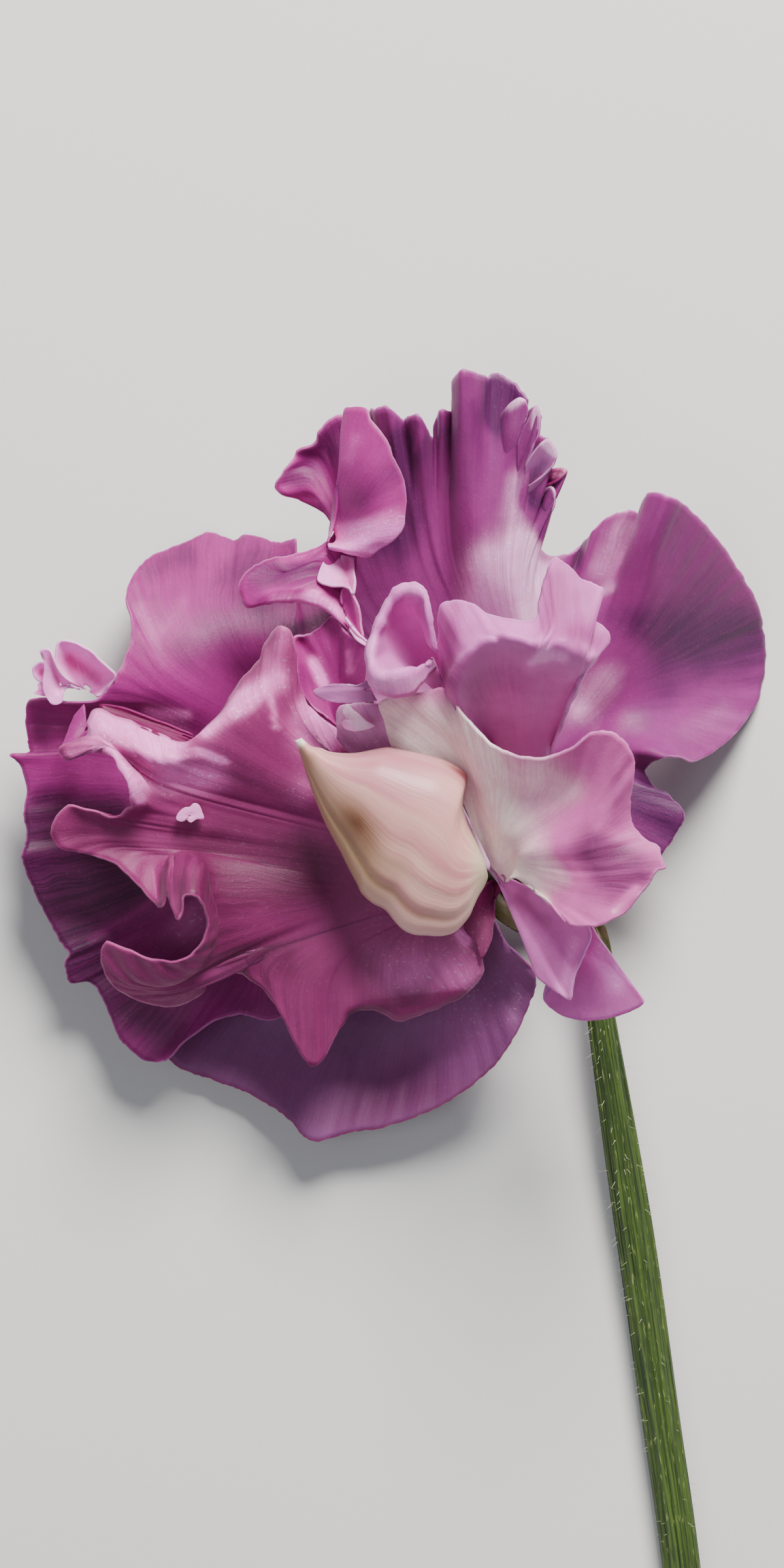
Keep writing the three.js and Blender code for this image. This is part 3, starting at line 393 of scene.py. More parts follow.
# %% Veins of bloom b, at the top and the right
PETALS_B = {
    "standard_b": dict(bloom="b", place=2, throat=12.6, cup=1.2, veins=[
        [(9.5, 5.2, 12.8), (2, 5.6, 12.8)], [(6.5, 6.4, 12.2), (-0.8, 7, 12.2)],
        [(4.2, 7.8, 11.2), (-2.2, 9, 11.5)], [(2.4, 9.6, 10.8), (-2.8, 11.6, 11)],
        [(1, 11.6, 10.4), (-3.2, 14, 11)], [(0.2, 13.4, 10.2), (-4, 18, 11.4)],
        [(0.4, 15, 10), (-4, 24, 12.6)], [(1.2, 18, 11), (-3, 31, 14.6)], [(2, 20, 12), (-2.4, 37.6, 17)],
        [(2.4, 21, 12.5), (-1.6, 38.3, 18.6)], [(2.7, 22, 13), (-0.5, 38.5, 19.6)],
        [(3, 22.6, 13.3), (0.4, 37.8, 18.8)], [(3.3, 23, 13.5), (1.2, 37.2, 17.8)],
        [(3.6, 23.3, 13.8), (2.1, 37.7, 19.6)], [(4, 23.5, 14), (3, 37.3, 20)],
        [(4.5, 23.5, 13.8), (4.1, 35.3, 17)], [(5, 23.5, 13.5), (4.5, 37.4, 18)],
        [(5.5, 23.5, 13.5), (5.2, 38.2, 19.5)], [(6.2, 23.5, 13.8), (6.2, 38.1, 17.6)],
        [(6.8, 24, 15.4), (6.2, 40.6, 20.6)], [(7.2, 24, 17.4), (6.6, 41.7, 23.2)],
        [(7.8, 24, 18), (7.4, 42.1, 23.8)], [(8.6, 24, 18.3), (8.6, 41.8, 22.6)],
        [(9.2, 24, 18.2), (9.7, 41.5, 20)], [(9.8, 24, 18), (10.4, 41.9, 19.6)],
        [(10.5, 24, 18), (11.9, 41.3, 19.8)], [(11, 23.7, 18.3), (13, 40.3, 20.6)],
        [(11.4, 23.4, 18.6), (13.8, 39.2, 21.2)], [(11.8, 23, 18.9), (13.8, 37.7, 19.6)],
        [(12.1, 22.7, 19), (14.6, 38.5, 22.3)], [(12.4, 22.4, 18.9), (15.1, 37.3, 22.4)],
        [(12.8, 22, 18.5), (14.8, 35.8, 19.6)], [(13, 21.7, 18.2), (15.8, 35.1, 21.6)],
        [(13.1, 21.5, 18), (16.7, 33.9, 22)], [(13.3, 21.2, 17.7), (15.6, 32.4, 18.6)],
        [(13.5, 20.9, 17.3), (17.8, 31.9, 21)], [(13.7, 20.6, 17), (16, 30.9, 19)],
        [(13.8, 20.3, 16.7), (14.6, 30.3, 17.2)], [(13.9, 20, 16.5), (16, 30.4, 19.8)],
        [(14, 19.7, 16.2), (16.6, 28.9, 19.6)], [(14.2, 19.2, 15.8), (15.4, 26.9, 17)],
        [(14.4, 18.5, 15.5), (14.1, 25.1, 15)], [(15.3, 17.5, 14.5), (16.3, 23.4, 14)],
        [(16.5, 16.5, 13.5), (18.5, 23.8, 13.5)], [(17.2, 16, 13.2), (19.5, 24.6, 11.6)],
        [(17.8, 15.5, 13), (20.6, 25.8, 14.4)], [(18.4, 15.2, 12.7), (22, 27.3, 15)],
        [(19.2, 14.8, 12.5), (24.3, 28, 15)], [(20, 14.4, 12.5), (25.6, 27.4, 13.6)],
        [(20.6, 14.2, 13), (25.5, 27, 15)], [(21, 14, 14), (26, 29.6, 19)],
        [(22, 13.5, 16), (28.3, 29.3, 21)], [(23, 13.3, 16), (30.2, 28.2, 18)],
        [(24.2, 13, 14.5), (33.3, 25.2, 13)], [(25.2, 12.5, 13), (35.8, 21.8, 8)],
        [(26, 11.8, 11.5), (37.7, 18.6, 4)], [(26.3, 10.8, 10.5), (38.5, 15.5, 1.2)],
        [(26.3, 9.8, 10), (38.6, 12.5, 0.2)], [(26, 8.8, 10.2), (38, 9, 0.8)],
        [(25.7, 7.8, 11), (36.6, 6.6, 3.2)], [(25.2, 6.8, 12.5), (34.3, 4.2, 7.2)],
        [(24.8, 5.8, 13.5), (31.3, 2.4, 11)], [(23.5, 4.5, 14.5), (28.3, 2.8, 15.5)],
        [(22, 3, 13.5), (26, 1.6, 13)], [(22, 1.5, 13.2), (27, -0.4, 12.5)],
        [(22, 0.6, 13.2), (28.4, -1.2, 12.8)], [(22, -0.4, 13.3), (29.9, -2.9, 13)],
        [(21.8, -1.5, 13.4), (29.4, -4.7, 12.8)], [(21.5, -3, 13.5), (27.6, -7.3, 12.5)],
    ]),
    "wing_b_right": dict(bloom="b", place=-1, throat=19.4, cup=4, veins=[
        [(9, 5.2, 25), (8.3, 5.7, 22.6)], [(7.1, 6.9, 27), (6.3, 7.4, 24.4)],
        [(6.2, 9, 29.8), (5.5, 9.8, 26.6), (4.9, 12.4, 24.4)],
        [(6.9, 11.4, 32), (6, 12.4, 29.4), (4.7, 15.4, 26.4)],
        [(8.1, 13.1, 33.6), (7.4, 14, 31.8), (5.1, 18.2, 28.2)],
        [(9.7, 14.2, 34.8), (9.4, 15.1, 33), (7.6, 18.4, 29.6)],
        [(11.3, 14.4, 35.4), (11.1, 15.3, 33.8), (10, 17, 31.6)],
        [(12.8, 14.1, 35.8), (12.8, 15, 34.2), (12.4, 16.55, 32.6)],
        [(14.2, 13.6, 36), (14.3, 14.8, 34.4), (14.4, 16.5, 32.4)],
        [(15.2, 13.7, 36.2), (15.6, 15.2, 34.4), (14.9, 18.6, 31)],
        [(16.2, 13.9, 36.2), (16.7, 15.6, 34.2), (16.1, 22.6, 29.6)],
        [(17.2, 13.6, 36), (17.8, 15.6, 33.8), (17.4, 22.4, 29.4)],
        [(18.2, 13.1, 35.6), (18.8, 15.4, 33.4), (19, 20.8, 30)],
        [(18.9, 12.7, 35), (19.4, 14.8, 33), (20.9, 20, 31)],
        [(19.2, 12.5, 34.6), (19.8, 14.4, 32.8), (21.3, 19.2, 31)],
        [(19.4, 12.3, 34.2), (19.9, 13.8, 32.4), (20.3, 17, 31.2)],
        [(19.8, 12, 33.4), (20.6, 13, 31.8), (22, 14.8, 31)], [(19.2, 11, 32), (20.2, 12.2, 30.4)],
        [(18.3, 9.2, 29.8), (19, 10, 29.2)], [(17.4, 7, 26.6), (18, 7.8, 27)],
        [(16.7, 4.8, 23.6), (17.1, 5.2, 24)],
    ]),
    "wing_b_left": dict(bloom="b", place=1, throat=14.4, cup=0.5, veins=[
        [(6.9, 7.4, 20.2), (4.2, 12.6, 26.8), (4.4, 11.8, 26.4)],
        [(5.4, 8.6, 20), (2.9, 11.9, 29.6), (3.2, 10.3, 28.8)],
        [(4.4, 9.6, 20.2), (1.6, 11.7, 31), (1.8, 9, 29.6)],
        [(3.4, 10.6, 20.8), (0.4, 11.6, 31.4), (0.2, 8.7, 30)],
        [(2.2, 11.6, 21.8), (-0.9, 11.5, 31.2), (-1.4, 9.2, 30)],
        [(1.4, 12.4, 22.6), (-1.6, 12, 30.8), (-2.4, 10.6, 30)],
        [(0.8, 13.2, 23.2), (-1.8, 13, 30.2), (-2.65, 12.4, 29.6)],
        [(0.5, 14.4, 23.6), (-1.6, 14.6, 29.6), (-2.4, 14.4, 29.2)],
        [(0.6, 15.4, 23.9), (-0.9, 16.4, 29.2), (-1.5, 16.8, 29)],
        [(1, 16.2, 24.2), (-0.1, 18, 29), (-0.4, 18.9, 29)],
        [(1.6, 16.8, 24.5), (0.8, 19, 29), (0.6, 20.1, 29.2)],
        [(2.2, 17, 24.8), (2, 19.2, 29.4), (2.2, 20.35, 29.5)],
        [(2.6, 17, 25), (3, 18.8, 29.8), (3.4, 19.7, 29.8)],
        [(3, 16.4, 25), (3.4, 17.6, 29.8), (3.85, 18, 30)],
        [(3.5, 15.4, 24.6), (3.7, 15.8, 29.4), (4.2, 15.6, 29.4)],
        [(4, 14, 24), (3.9, 13.8, 28.4), (4.7, 13.2, 28.2)],
    ]),
}
print(sum(len(petal["veins"]) for petal in PETALS_B.values()), "veins in", len(PETALS_B), "petals")

# %% Veins of bloom c, behind at the upper left
PETALS_C = {
    "standard_c": dict(bloom="c", place=2, throat=9.4, cup=1.2, veins=[
        [(-4, 10, 7.6), (-3.4, 17, 7)], [(-5.5, 12.5, 7.8), (-5, 21, 6.2)],
        [(-8.8, 15.4, 8.2), (-10.1, 23, 5)], [(-9.4, 15.8, 8.4), (-10.3, 24.3, 4.6)],
        [(-9.8, 16, 8.5), (-10, 25.3, 4.2)], [(-12, 16.5, 8.8), (-11.6, 24.95, 2.6)],
        [(-14, 17, 9), (-13.4, 25.4, 1.4)], [(-15.5, 17, 9.3), (-15, 25.75, 0.6)],
        [(-16.5, 17, 9.6), (-16.3, 25.2, 0.3)], [(-17.5, 16.8, 10), (-17.4, 25.6, 0.6)],
        [(-18.6, 16.4, 10.5), (-18.8, 26, 1.4)], [(-19.8, 15.8, 11), (-20.3, 25.5, 2.4)],
        [(-21, 15.2, 11.6), (-22.2, 24.6, 3.6)], [(-22, 14.4, 12.4), (-24.6, 23.6, 6)],
        [(-22.8, 13.2, 12.8), (-26.4, 21.9, 8.2)], [(-23, 12, 13), (-27.3, 19.4, 10.4)],
        [(-22.8, 10.8, 12.9), (-26.8, 16.8, 12)], [(-22.6, 9.8, 12.6), (-26.8, 14.6, 13)],
        [(-22.8, 9, 12.2), (-27.6, 12.4, 13.6)], [(-23.2, 8.4, 11.6), (-28.8, 10.4, 14)],
        [(-23.6, 7.8, 11.2), (-30.4, 8.6, 13.6)], [(-24.6, 7.2, 10.2), (-33.5, 8.4, 12.4)],
        [(-26, 6.8, 9.6), (-35.6, 8.7, 11.4)], [(-27, 6.4, 9.2), (-37.3, 8.6, 10)],
        [(-27.6, 5.6, 8.8), (-37.7, 6.8, 9)], [(-28, 4.8, 8.2), (-37.5, 4.6, 8.6)],
        [(-28, 3.8, 7.8), (-37.4, 3.2, 8.6)], [(-27.8, 2.8, 7.6), (-39.3, 3, 10)],
        [(-27.6, 1.6, 7.4), (-38.2, 1.9, 9.4)], [(-27.2, 0, 7.2), (-37.6, -0.6, 8.6)],
        [(-26.8, -2, 7), (-37.9, -3, 8.4)], [(-26.5, -4, 7), (-37.6, -5.4, 8.2)],
        [(-26, -6, 7), (-38.1, -7.4, 8.6)], [(-25.5, -7.6, 7), (-37.5, -9.5, 7.8)],
        [(-25, -9.2, 7), (-36.6, -11.6, 7.4)], [(-24.4, -10.8, 7), (-35.2, -14.4, 7.2)],
        [(-23.8, -12.2, 7), (-33.9, -16.6, 7.6)], [(-23.2, -13.2, 7), (-33.3, -17.5, 8)],
        [(-22.8, -14, 6.9), (-33.7, -18.6, 7.4)], [(-22.2, -14.8, 6.8), (-33.2, -20.4, 6.8)],
        [(-21.5, -15.6, 6.6), (-31.2, -20.4, 6.6)], [(-20.8, -16.6, 6.5), (-29.9, -22, 6.5)],
        [(-20, -17.5, 6.5), (-28.4, -25.6, 6)], [(-19, -18.3, 6.5), (-27.2, -27.2, 6)],
        [(-18.2, -18.7, 6.5), (-25.4, -28.5, 6)], [(-17, -19, 6.6), (-23.2, -28.4, 6.8)],
        [(-16, -19, 6.8), (-21, -26.2, 7.4)], [(-15, -19, 7), (-18.2, -24.4, 8)],
        [(-13.6, -18.4, 7.3), (-15.6, -23.7, 8.4)], [(-11.6, -17.4, 7.8), (-12.6, -24.3, 8.8)],
        [(-9.4, -15.6, 8), (-9, -23, 9.2)], [(-7.5, -14, 8), (-6, -21.5, 9.4)],
    ]),
    "wing_c_right": dict(bloom="c", place=1, throat=11, cup=0.5, veins=[
        [(-4.4, 15.8, 17.2), (-4.3, 16, 19.2), (-3, 14.4, 20.4)],
        [(-4.8, 17.4, 17.8), (-5.5, 17.5, 19.8), (-5, 16.2, 20.2)],
        [(-5.2, 18.6, 18), (-6.6, 18.8, 20), (-6.8, 17.7, 20)],
        [(-5.6, 19.4, 18.2), (-8.2, 19.7, 20.2), (-8.8, 18.35, 19.8)],
        [(-5.9, 20, 18.3), (-9.8, 19.9, 20.2), (-10.8, 18.5, 19.6)],
        [(-6.1, 20.4, 18.4), (-11.4, 19.8, 19.8), (-12.8, 18.3, 19.2)],
        [(-6.3, 20.8, 18.5), (-12.6, 19.6, 19.4), (-14.8, 18, 18.8)],
        [(-6.4, 21.2, 18.5), (-12.8, 20.2, 19), (-15.6, 19.6, 18.4)],
        [(-6.4, 21.6, 18.5), (-12.4, 20.8, 18.8), (-15.3, 21.1, 18.2)],
        [(-6.4, 21.9, 18.5), (-11.6, 21.4, 18.6), (-14, 22.3, 18)],
        [(-6.3, 22.2, 18.5), (-10.6, 21.8, 18.6), (-12.2, 23.05, 17.8)],
        [(-6.2, 22.4, 18.5), (-9.6, 22.2, 18.5), (-10.6, 23.2, 17.6)],
        [(-6, 22.6, 18.4), (-8.4, 22.9, 18.3), (-8.4, 23.9, 17.8)],
        [(-5.8, 22.8, 18.2), (-7, 23.8, 17.8), (-6.8, 24.6, 17.4)],
        [(-5.6, 23, 18), (-5.8, 25, 17.2), (-5.8, 26, 16.8)], [(-5.4, 23.2, 17.8), (-5.3, 27.5, 16.4)],
        [(-5.3, 23.4, 17.6), (-6.5, 28.05, 15.8)], [(-5.2, 23.5, 17.5), (-6.4, 27.2, 16), (-8, 28.6, 15.6)],
        [(-5.1, 23.6, 17.5), (-7.2, 28.8, 16.6), (-9.6, 29.05, 16.2)],
        [(-5, 23.7, 17.5), (-8, 29.8, 17.2), (-11.4, 29.7, 17)],
        [(-4.9, 23.8, 17.5), (-8.2, 30.8, 17.2), (-12, 30.5, 17)],
        [(-4.8, 23.9, 17.5), (-8, 31.8, 16.8), (-11.2, 31.8, 17.4)],
        [(-4.7, 24, 17.5), (-7.4, 32.4, 16.6), (-10.1, 33.1, 17.6)],
        [(-4.6, 24, 17.6), (-6.8, 32.8, 16.8), (-9.6, 34.1, 18)],
        [(-4.5, 24, 17.7), (-6.4, 33.2, 17.2), (-7.9, 34.8, 18.4)],
        [(-4.4, 24, 17.9), (-6, 33.8, 17.8), (-7.5, 36, 19)],
        [(-4.3, 24, 18.1), (-5.4, 34, 18.4), (-6.3, 37.2, 19.4)],
        [(-4.1, 24, 18.2), (-4.6, 33.8, 18.4), (-4.9, 37.6, 19.6)],
        [(-3.9, 24, 18.2), (-3.8, 33.4, 18.2), (-3.4, 36.4, 19)],
        [(-3.6, 23.4, 18.2), (-3, 30, 18.4), (-2, 32, 19)],
    ]),
    "wing_c_left": dict(bloom="c", place=0, throat=12.4, cup=0.2, veins=[
        [(-4.6, 4.6, 16.4), (-6.6, 6.8, 17)], [(-5.8, 6, 16), (-8, 8, 16.8), (-8.9, 8.8, 17.4)],
        [(-6.6, 8, 16.4), (-8.6, 10.4, 17), (-9.6, 10.8, 18)],
        [(-6.8, 9.5, 16.6), (-9, 12.4, 17.2), (-9.9, 12.8, 18)],
        [(-6.6, 10.6, 16.8), (-9, 14.2, 17.2), (-9.95, 15, 18)], [(-6.2, 11.2, 17), (-8.2, 15.4, 17.8)],
        [(-5.8, 11.6, 17.4), (-7, 16.4, 18.2)], [(-5.4, 12, 17.8), (-6, 17.1, 18.6)],
        [(-4.9, 12, 18.2), (-4.8, 15.8, 20)], [(-4.4, 11.6, 18.6), (-3.6, 14.6, 21)],
        [(-4, 11, 18.8), (-2.6, 14, 21.4)], [(-3.8, 9.5, 18.4), (-2.5, 11.4, 21)],
        [(-3.6, 8, 17.4), (-2.6, 9.3, 20.4)], [(-3.4, 6, 16.4), (-2, 6.4, 19)],
    ]),
}
print(sum(len(petal["veins"]) for petal in PETALS_C.values()), "veins in", len(PETALS_C), "petals")

# %% Keels that stay hidden between the wings
KEELS = {
    "keel_b": dict(bloom="b", place=0, throat=16, cup=0, veins=[
        [(12.8, 4.4, 18.6), (11.6, 8.2, 20)], [(14, 5, 17.8), (13.2, 9, 18.4)],
        [(15.2, 4.6, 18.6), (15, 8, 20)],
    ]),
    "keel_c": dict(bloom="c", place=-1, throat=14.2, cup=0, veins=[
        [(-4.9, 1.4, 16.2), (-5.3, 3, 16.6)], [(-4.2, 1.6, 15.9), (-4.4, 3.6, 16.2)],
        [(-3.6, 1.4, 16.2), (-3.2, 3, 16.6)],
    ]),
}
PETALS = {**PETALS_A, **PETALS_B, **PETALS_C, **KEELS}
print(len(PETALS), "petals in all")

# %% [markdown]
# ## Frills
# Some petals end in lobes that fold forward over their own blade, and the sepals' tips show between them.
# They could be more veins of the same petal, but a sheet that folds over itself is hard to steer. So each
# is drawn more simply: a root, where it grows out of the petal, and its rim. It is hollowed between the
# two, or puffed up where sink is below 0.

# %% Frills of bloom c
FRILLS_C = {
    "front_blade_c": dict(finish="fold", root=(-6.6, 24.6, 17.8), sink=-1.6, rim=[
        (-6.4, 25.2, 18), (-5.4, 27.8, 18.6), (-4.7, 31, 19.6), (-4.6, 35, 21), (-4.9, 37.9, 22),
        (-4, 38.3, 23), (-2.6, 38.15, 24), (-2.2, 37, 24.4), (-1.25, 35.95, 24.8), (-0.35, 34.6, 25),
        (0.1, 33.2, 25), (0.75, 32, 25), (1.25, 30.6, 24.9), (1.45, 29, 24.7), (1.35, 27.4, 24.4),
        (1.15, 26, 24), (0.4, 25, 23.4), (-1.1, 24, 22.4), (-2.3, 23.2, 21.6), (-3.7, 23.3, 20.6),
        (-5, 23.7, 19.4), (-6.4, 24, 18.4),
    ]),
    "inner_strip_c": dict(finish="bright", root=(-5.4, 23.4, 17.6), sink=0.2, rim=[
        (-6.9, 23.5, 18), (-7, 22.8, 18.6), (-7.6, 21, 20), (-7.3, 20.5, 20.3), (-6.7, 20.25, 20.5),
        (-5.8, 20.1, 20.8), (-4.9, 20.05, 21), (-4.3, 19.8, 21.1), (-3.9, 19.2, 21.2), (-3.75, 20.6, 20.8),
        (-3.85, 22, 19.6), (-3.9, 23.1, 18.4),
    ]),
    "inner_edge_c": dict(finish="fold", root=(-4.7, 17.6, 19.4), sink=0.3, rim=[
        (-5.1, 18.4, 19.8), (-5.2, 19.3, 20.2), (-4.9, 20, 20.7), (-4.2, 19.7, 21), (-3.7, 18.8, 21.1),
        (-3.3, 17.5, 21.1), (-3.1, 16.2, 21), (-2.9, 14.8, 21), (-3.5, 15.2, 20.8), (-4.2, 16.1, 20.4),
    ]),
    "inner_rim_c": dict(finish="bright", root=(-4.4, 16.5, 20.6), sink=0.1, rim=[
        (-4.75, 17, 20.8), (-4, 15.9, 21.2), (-3.2, 15, 21.4), (-2.55, 14.4, 21.5), (-2.65, 14, 21.5),
        (-3.5, 14.6, 21.3), (-4.3, 15.6, 21),
    ]),
    "bud_curl_c": dict(finish="bright", root=(-31.2, 9.6, 12), sink=0.9, rim=[
        (-30.3, 9, 13.4), (-29.4, 9.3, 13.8), (-28.7, 10.3, 14.2), (-28.25, 11.1, 14.8),
        (-28.9, 11.8, 15.2), (-29.8, 12.7, 15.5), (-30.6, 13.45, 15.8), (-31.6, 14.1, 16),
        (-32.6, 14.55, 16), (-33.5, 14.75, 15.9), (-34.1, 14.5, 15.7), (-34.35, 13.6, 15.5),
        (-34.4, 12.8, 15.3), (-34, 11.8, 15), (-33.3, 10.9, 14.6), (-32.6, 10.2, 14),
    ]),
    "flap_curl_c": dict(finish="bright", root=(-33.9, 10.2, 13.4), sink=-0.2, rim=[
        (-31.9, 9.7, 13.8), (-33.1, 10.05, 13.8), (-33.6, 9.3, 14), (-33.75, 8.4, 14.1), (-34.4, 8.1, 14.2),
        (-35.1, 8.4, 14.2), (-35.6, 9.4, 14.2), (-35.75, 10.6, 14.3), (-35.6, 11.8, 14.5),
        (-35.7, 12.8, 14.8), (-36.05, 13.6, 15), (-35.4, 13.85, 15.3), (-34.9, 13.6, 15.5),
        (-34.6, 12.9, 15.6), (-34.15, 11.9, 15.3), (-33.5, 11, 14.9), (-32.4, 10.3, 14.4),
    ]),
    "small_curl_c": dict(finish="bright", root=(-33.9, 10.2, 13), sink=0.5, rim=[
        (-35.6, 10.3, 13.2), (-36.4, 10.7, 13.4), (-36.8, 11.4, 13.6), (-36.7, 11.95, 13.8),
        (-36.2, 12.4, 14), (-35.5, 12.45, 14),
    ]),
    "small_tip_c": dict(finish="bright", root=(-33.8, 9.9, 12.8), sink=0.1, rim=[
        (-35.5, 9, 12.8), (-36, 9.05, 12.9), (-36.7, 9.3, 13), (-36.3, 9.7, 13), (-36.3, 10.25, 13),
        (-35.7, 10.2, 13),
    ]),
    # Painted shade: a dark crimson sheet laid in the band where the plum petal's lower edge casts its shadow,
    # just above the rose petal's pale lip.
    "painted_shade_wedge_c": dict(finish="crimson", root=(-20.4, 4.6, 17.2), sink=0.3, rim=[
        (-20.4, 5.1, 17), (-22, 5.75, 16.8), (-24, 6.5, 16.4), (-26.2, 7.35, 16), (-28, 7.95, 15.6),
        (-29.8, 8.15, 15.2), (-29.4, 7.4, 15.6), (-28, 6.7, 16.2), (-26, 5.8, 16.8), (-24, 4.9, 17.4),
        (-22, 4.1, 17.7), (-20.8, 3.8, 17.7),
    ]),
    "side_flap_c": dict(finish="plum", root=(-31.2, 5.6, 14), sink=-0.2, rim=[
        (-31.5, 8.2, 13), (-32.5, 7, 13.2), (-33.1, 5.6, 13.6), (-33.5, 4.4, 14), (-33.95, 3.3, 14.6),
        (-33.8, 2.7, 15), (-33.3, 3.1, 15.2), (-32.2, 3.6, 15.4), (-31, 4.3, 15),
    ]),
    "lower_tip_c": dict(finish="bright", root=(-4.6, 6.6, 22.6), sink=-0.1, rim=[
        (-5.2, 6.3, 22.7), (-4.7, 5.6, 22.8), (-3.9, 5.35, 22.9), (-2.8, 5.5, 23), (-1.7, 5.9, 23.1),
        (-2.5, 6.3, 23.2), (-3.2, 6.95, 23.3), (-4, 7.6, 23.3), (-4.6, 8.1, 23.2), (-5.1, 7.4, 23),
    ]),
}
print(len(FRILLS_C), "frills")

# %% Frills of bloom b
FRILLS_B = {
    "grey_tongue_b": dict(finish="haze", root=(-2.2, 9.6, 27), sink=0.1, rim=[
        (-1.5, 8.4, 27), (-3, 8.3, 26.2), (-4.6, 8.2, 25.4), (-6, 8.3, 24.8), (-7, 8.6, 24.2),
        (-8, 9.3, 23.8), (-7.3, 9.8, 24), (-6.2, 10.1, 24.6), (-5, 10.15, 25.2), (-3.8, 9.95, 26),
        (-2.9, 10.3, 26.6), (-2.3, 10.7, 27),
    ]),
    "fringe_top_b": dict(finish="lilac", root=(11.2, 28.6, 17.2), sink=-0.5, rim=[
        (10.6, 34.6, 16.8), (10.6, 35.9, 17.6), (11, 36.9, 18.8), (11.4, 37.9, 20), (12, 38.7, 21),
        (12.7, 39.25, 21.5), (13.2, 39.3, 21.7), (13.6, 39, 21.7), (13.85, 38.3, 21.6), (13.7, 37.4, 21.4),
        (13.3, 36.4, 21), (13, 35.2, 20.2), (12.4, 33.8, 18.8),
    ]),
    "fringe_upper_b": dict(finish="lilac", root=(12.7, 28.4, 17.4), sink=-0.4, rim=[
        (12.8, 34.6, 21.2), (13.2, 35.8, 21.7), (13.7, 36.8, 22.1), (14.15, 37.7, 22.5), (14.5, 38.4, 22.8),
        (14.8, 38.3, 22.9), (15.05, 37.4, 22.9), (15.1, 36.6, 22.8), (14.9, 35.7, 22.6), (14.5, 34.8, 22.2),
        (14.2, 33.9, 21.9), (13.6, 32.6, 21.2),
    ]),
    "fringe_middle_b": dict(finish="haze", root=(13.3, 27.6, 16.9), sink=-0.4, rim=[
        (13.6, 32.4, 21.4), (14.2, 33.5, 22), (14.8, 34.25, 22.4), (15.3, 34.8, 22.7), (15.8, 35.05, 22.9),
        (16.3, 34.6, 22.9), (16.7, 33.8, 22.8), (16.65, 33.1, 22.6), (16.3, 32.4, 22.2), (15.6, 31.6, 21.7),
        (14.8, 31, 21.2), (13.9, 30.4, 20.4),
    ]),
    "fringe_tongue_b": dict(finish="crimson", root=(13.7, 28.8, 17.2), sink=-0.2, rim=[
        (15, 31.1, 20.6), (15.8, 31.75, 21), (16.5, 32.1, 21.2), (17.3, 32.1, 21.3), (17.8, 31.85, 21.3),
        (17.5, 31.35, 21.1), (16.8, 30.95, 20.9), (15.8, 30.5, 20.5), (14.8, 30.2, 20),
    ]),
    "fringe_curl_b": dict(finish="bright", root=(13.6, 25.8, 16), sink=0.9, rim=[
        (13.95, 25.1, 15.6), (15, 26.3, 17), (15.9, 27.2, 18.4), (16.4, 28, 19.4), (16.65, 29, 20),
        (16.6, 29.8, 20.4), (16.2, 30.35, 20.4), (15.7, 30.2, 20.2), (15.2, 29.8, 19.8),
        (15.75, 29.2, 18.9), (15.7, 28.4, 18.2), (15.3, 27.6, 17.7), (15, 27.2, 17.4), (14.6, 27.7, 17.4),
        (14.1, 28, 17.4), (13.6, 27.7, 17.2), (13.1, 27.8, 17),
    ]),
}
print(len(FRILLS_B), "frills")

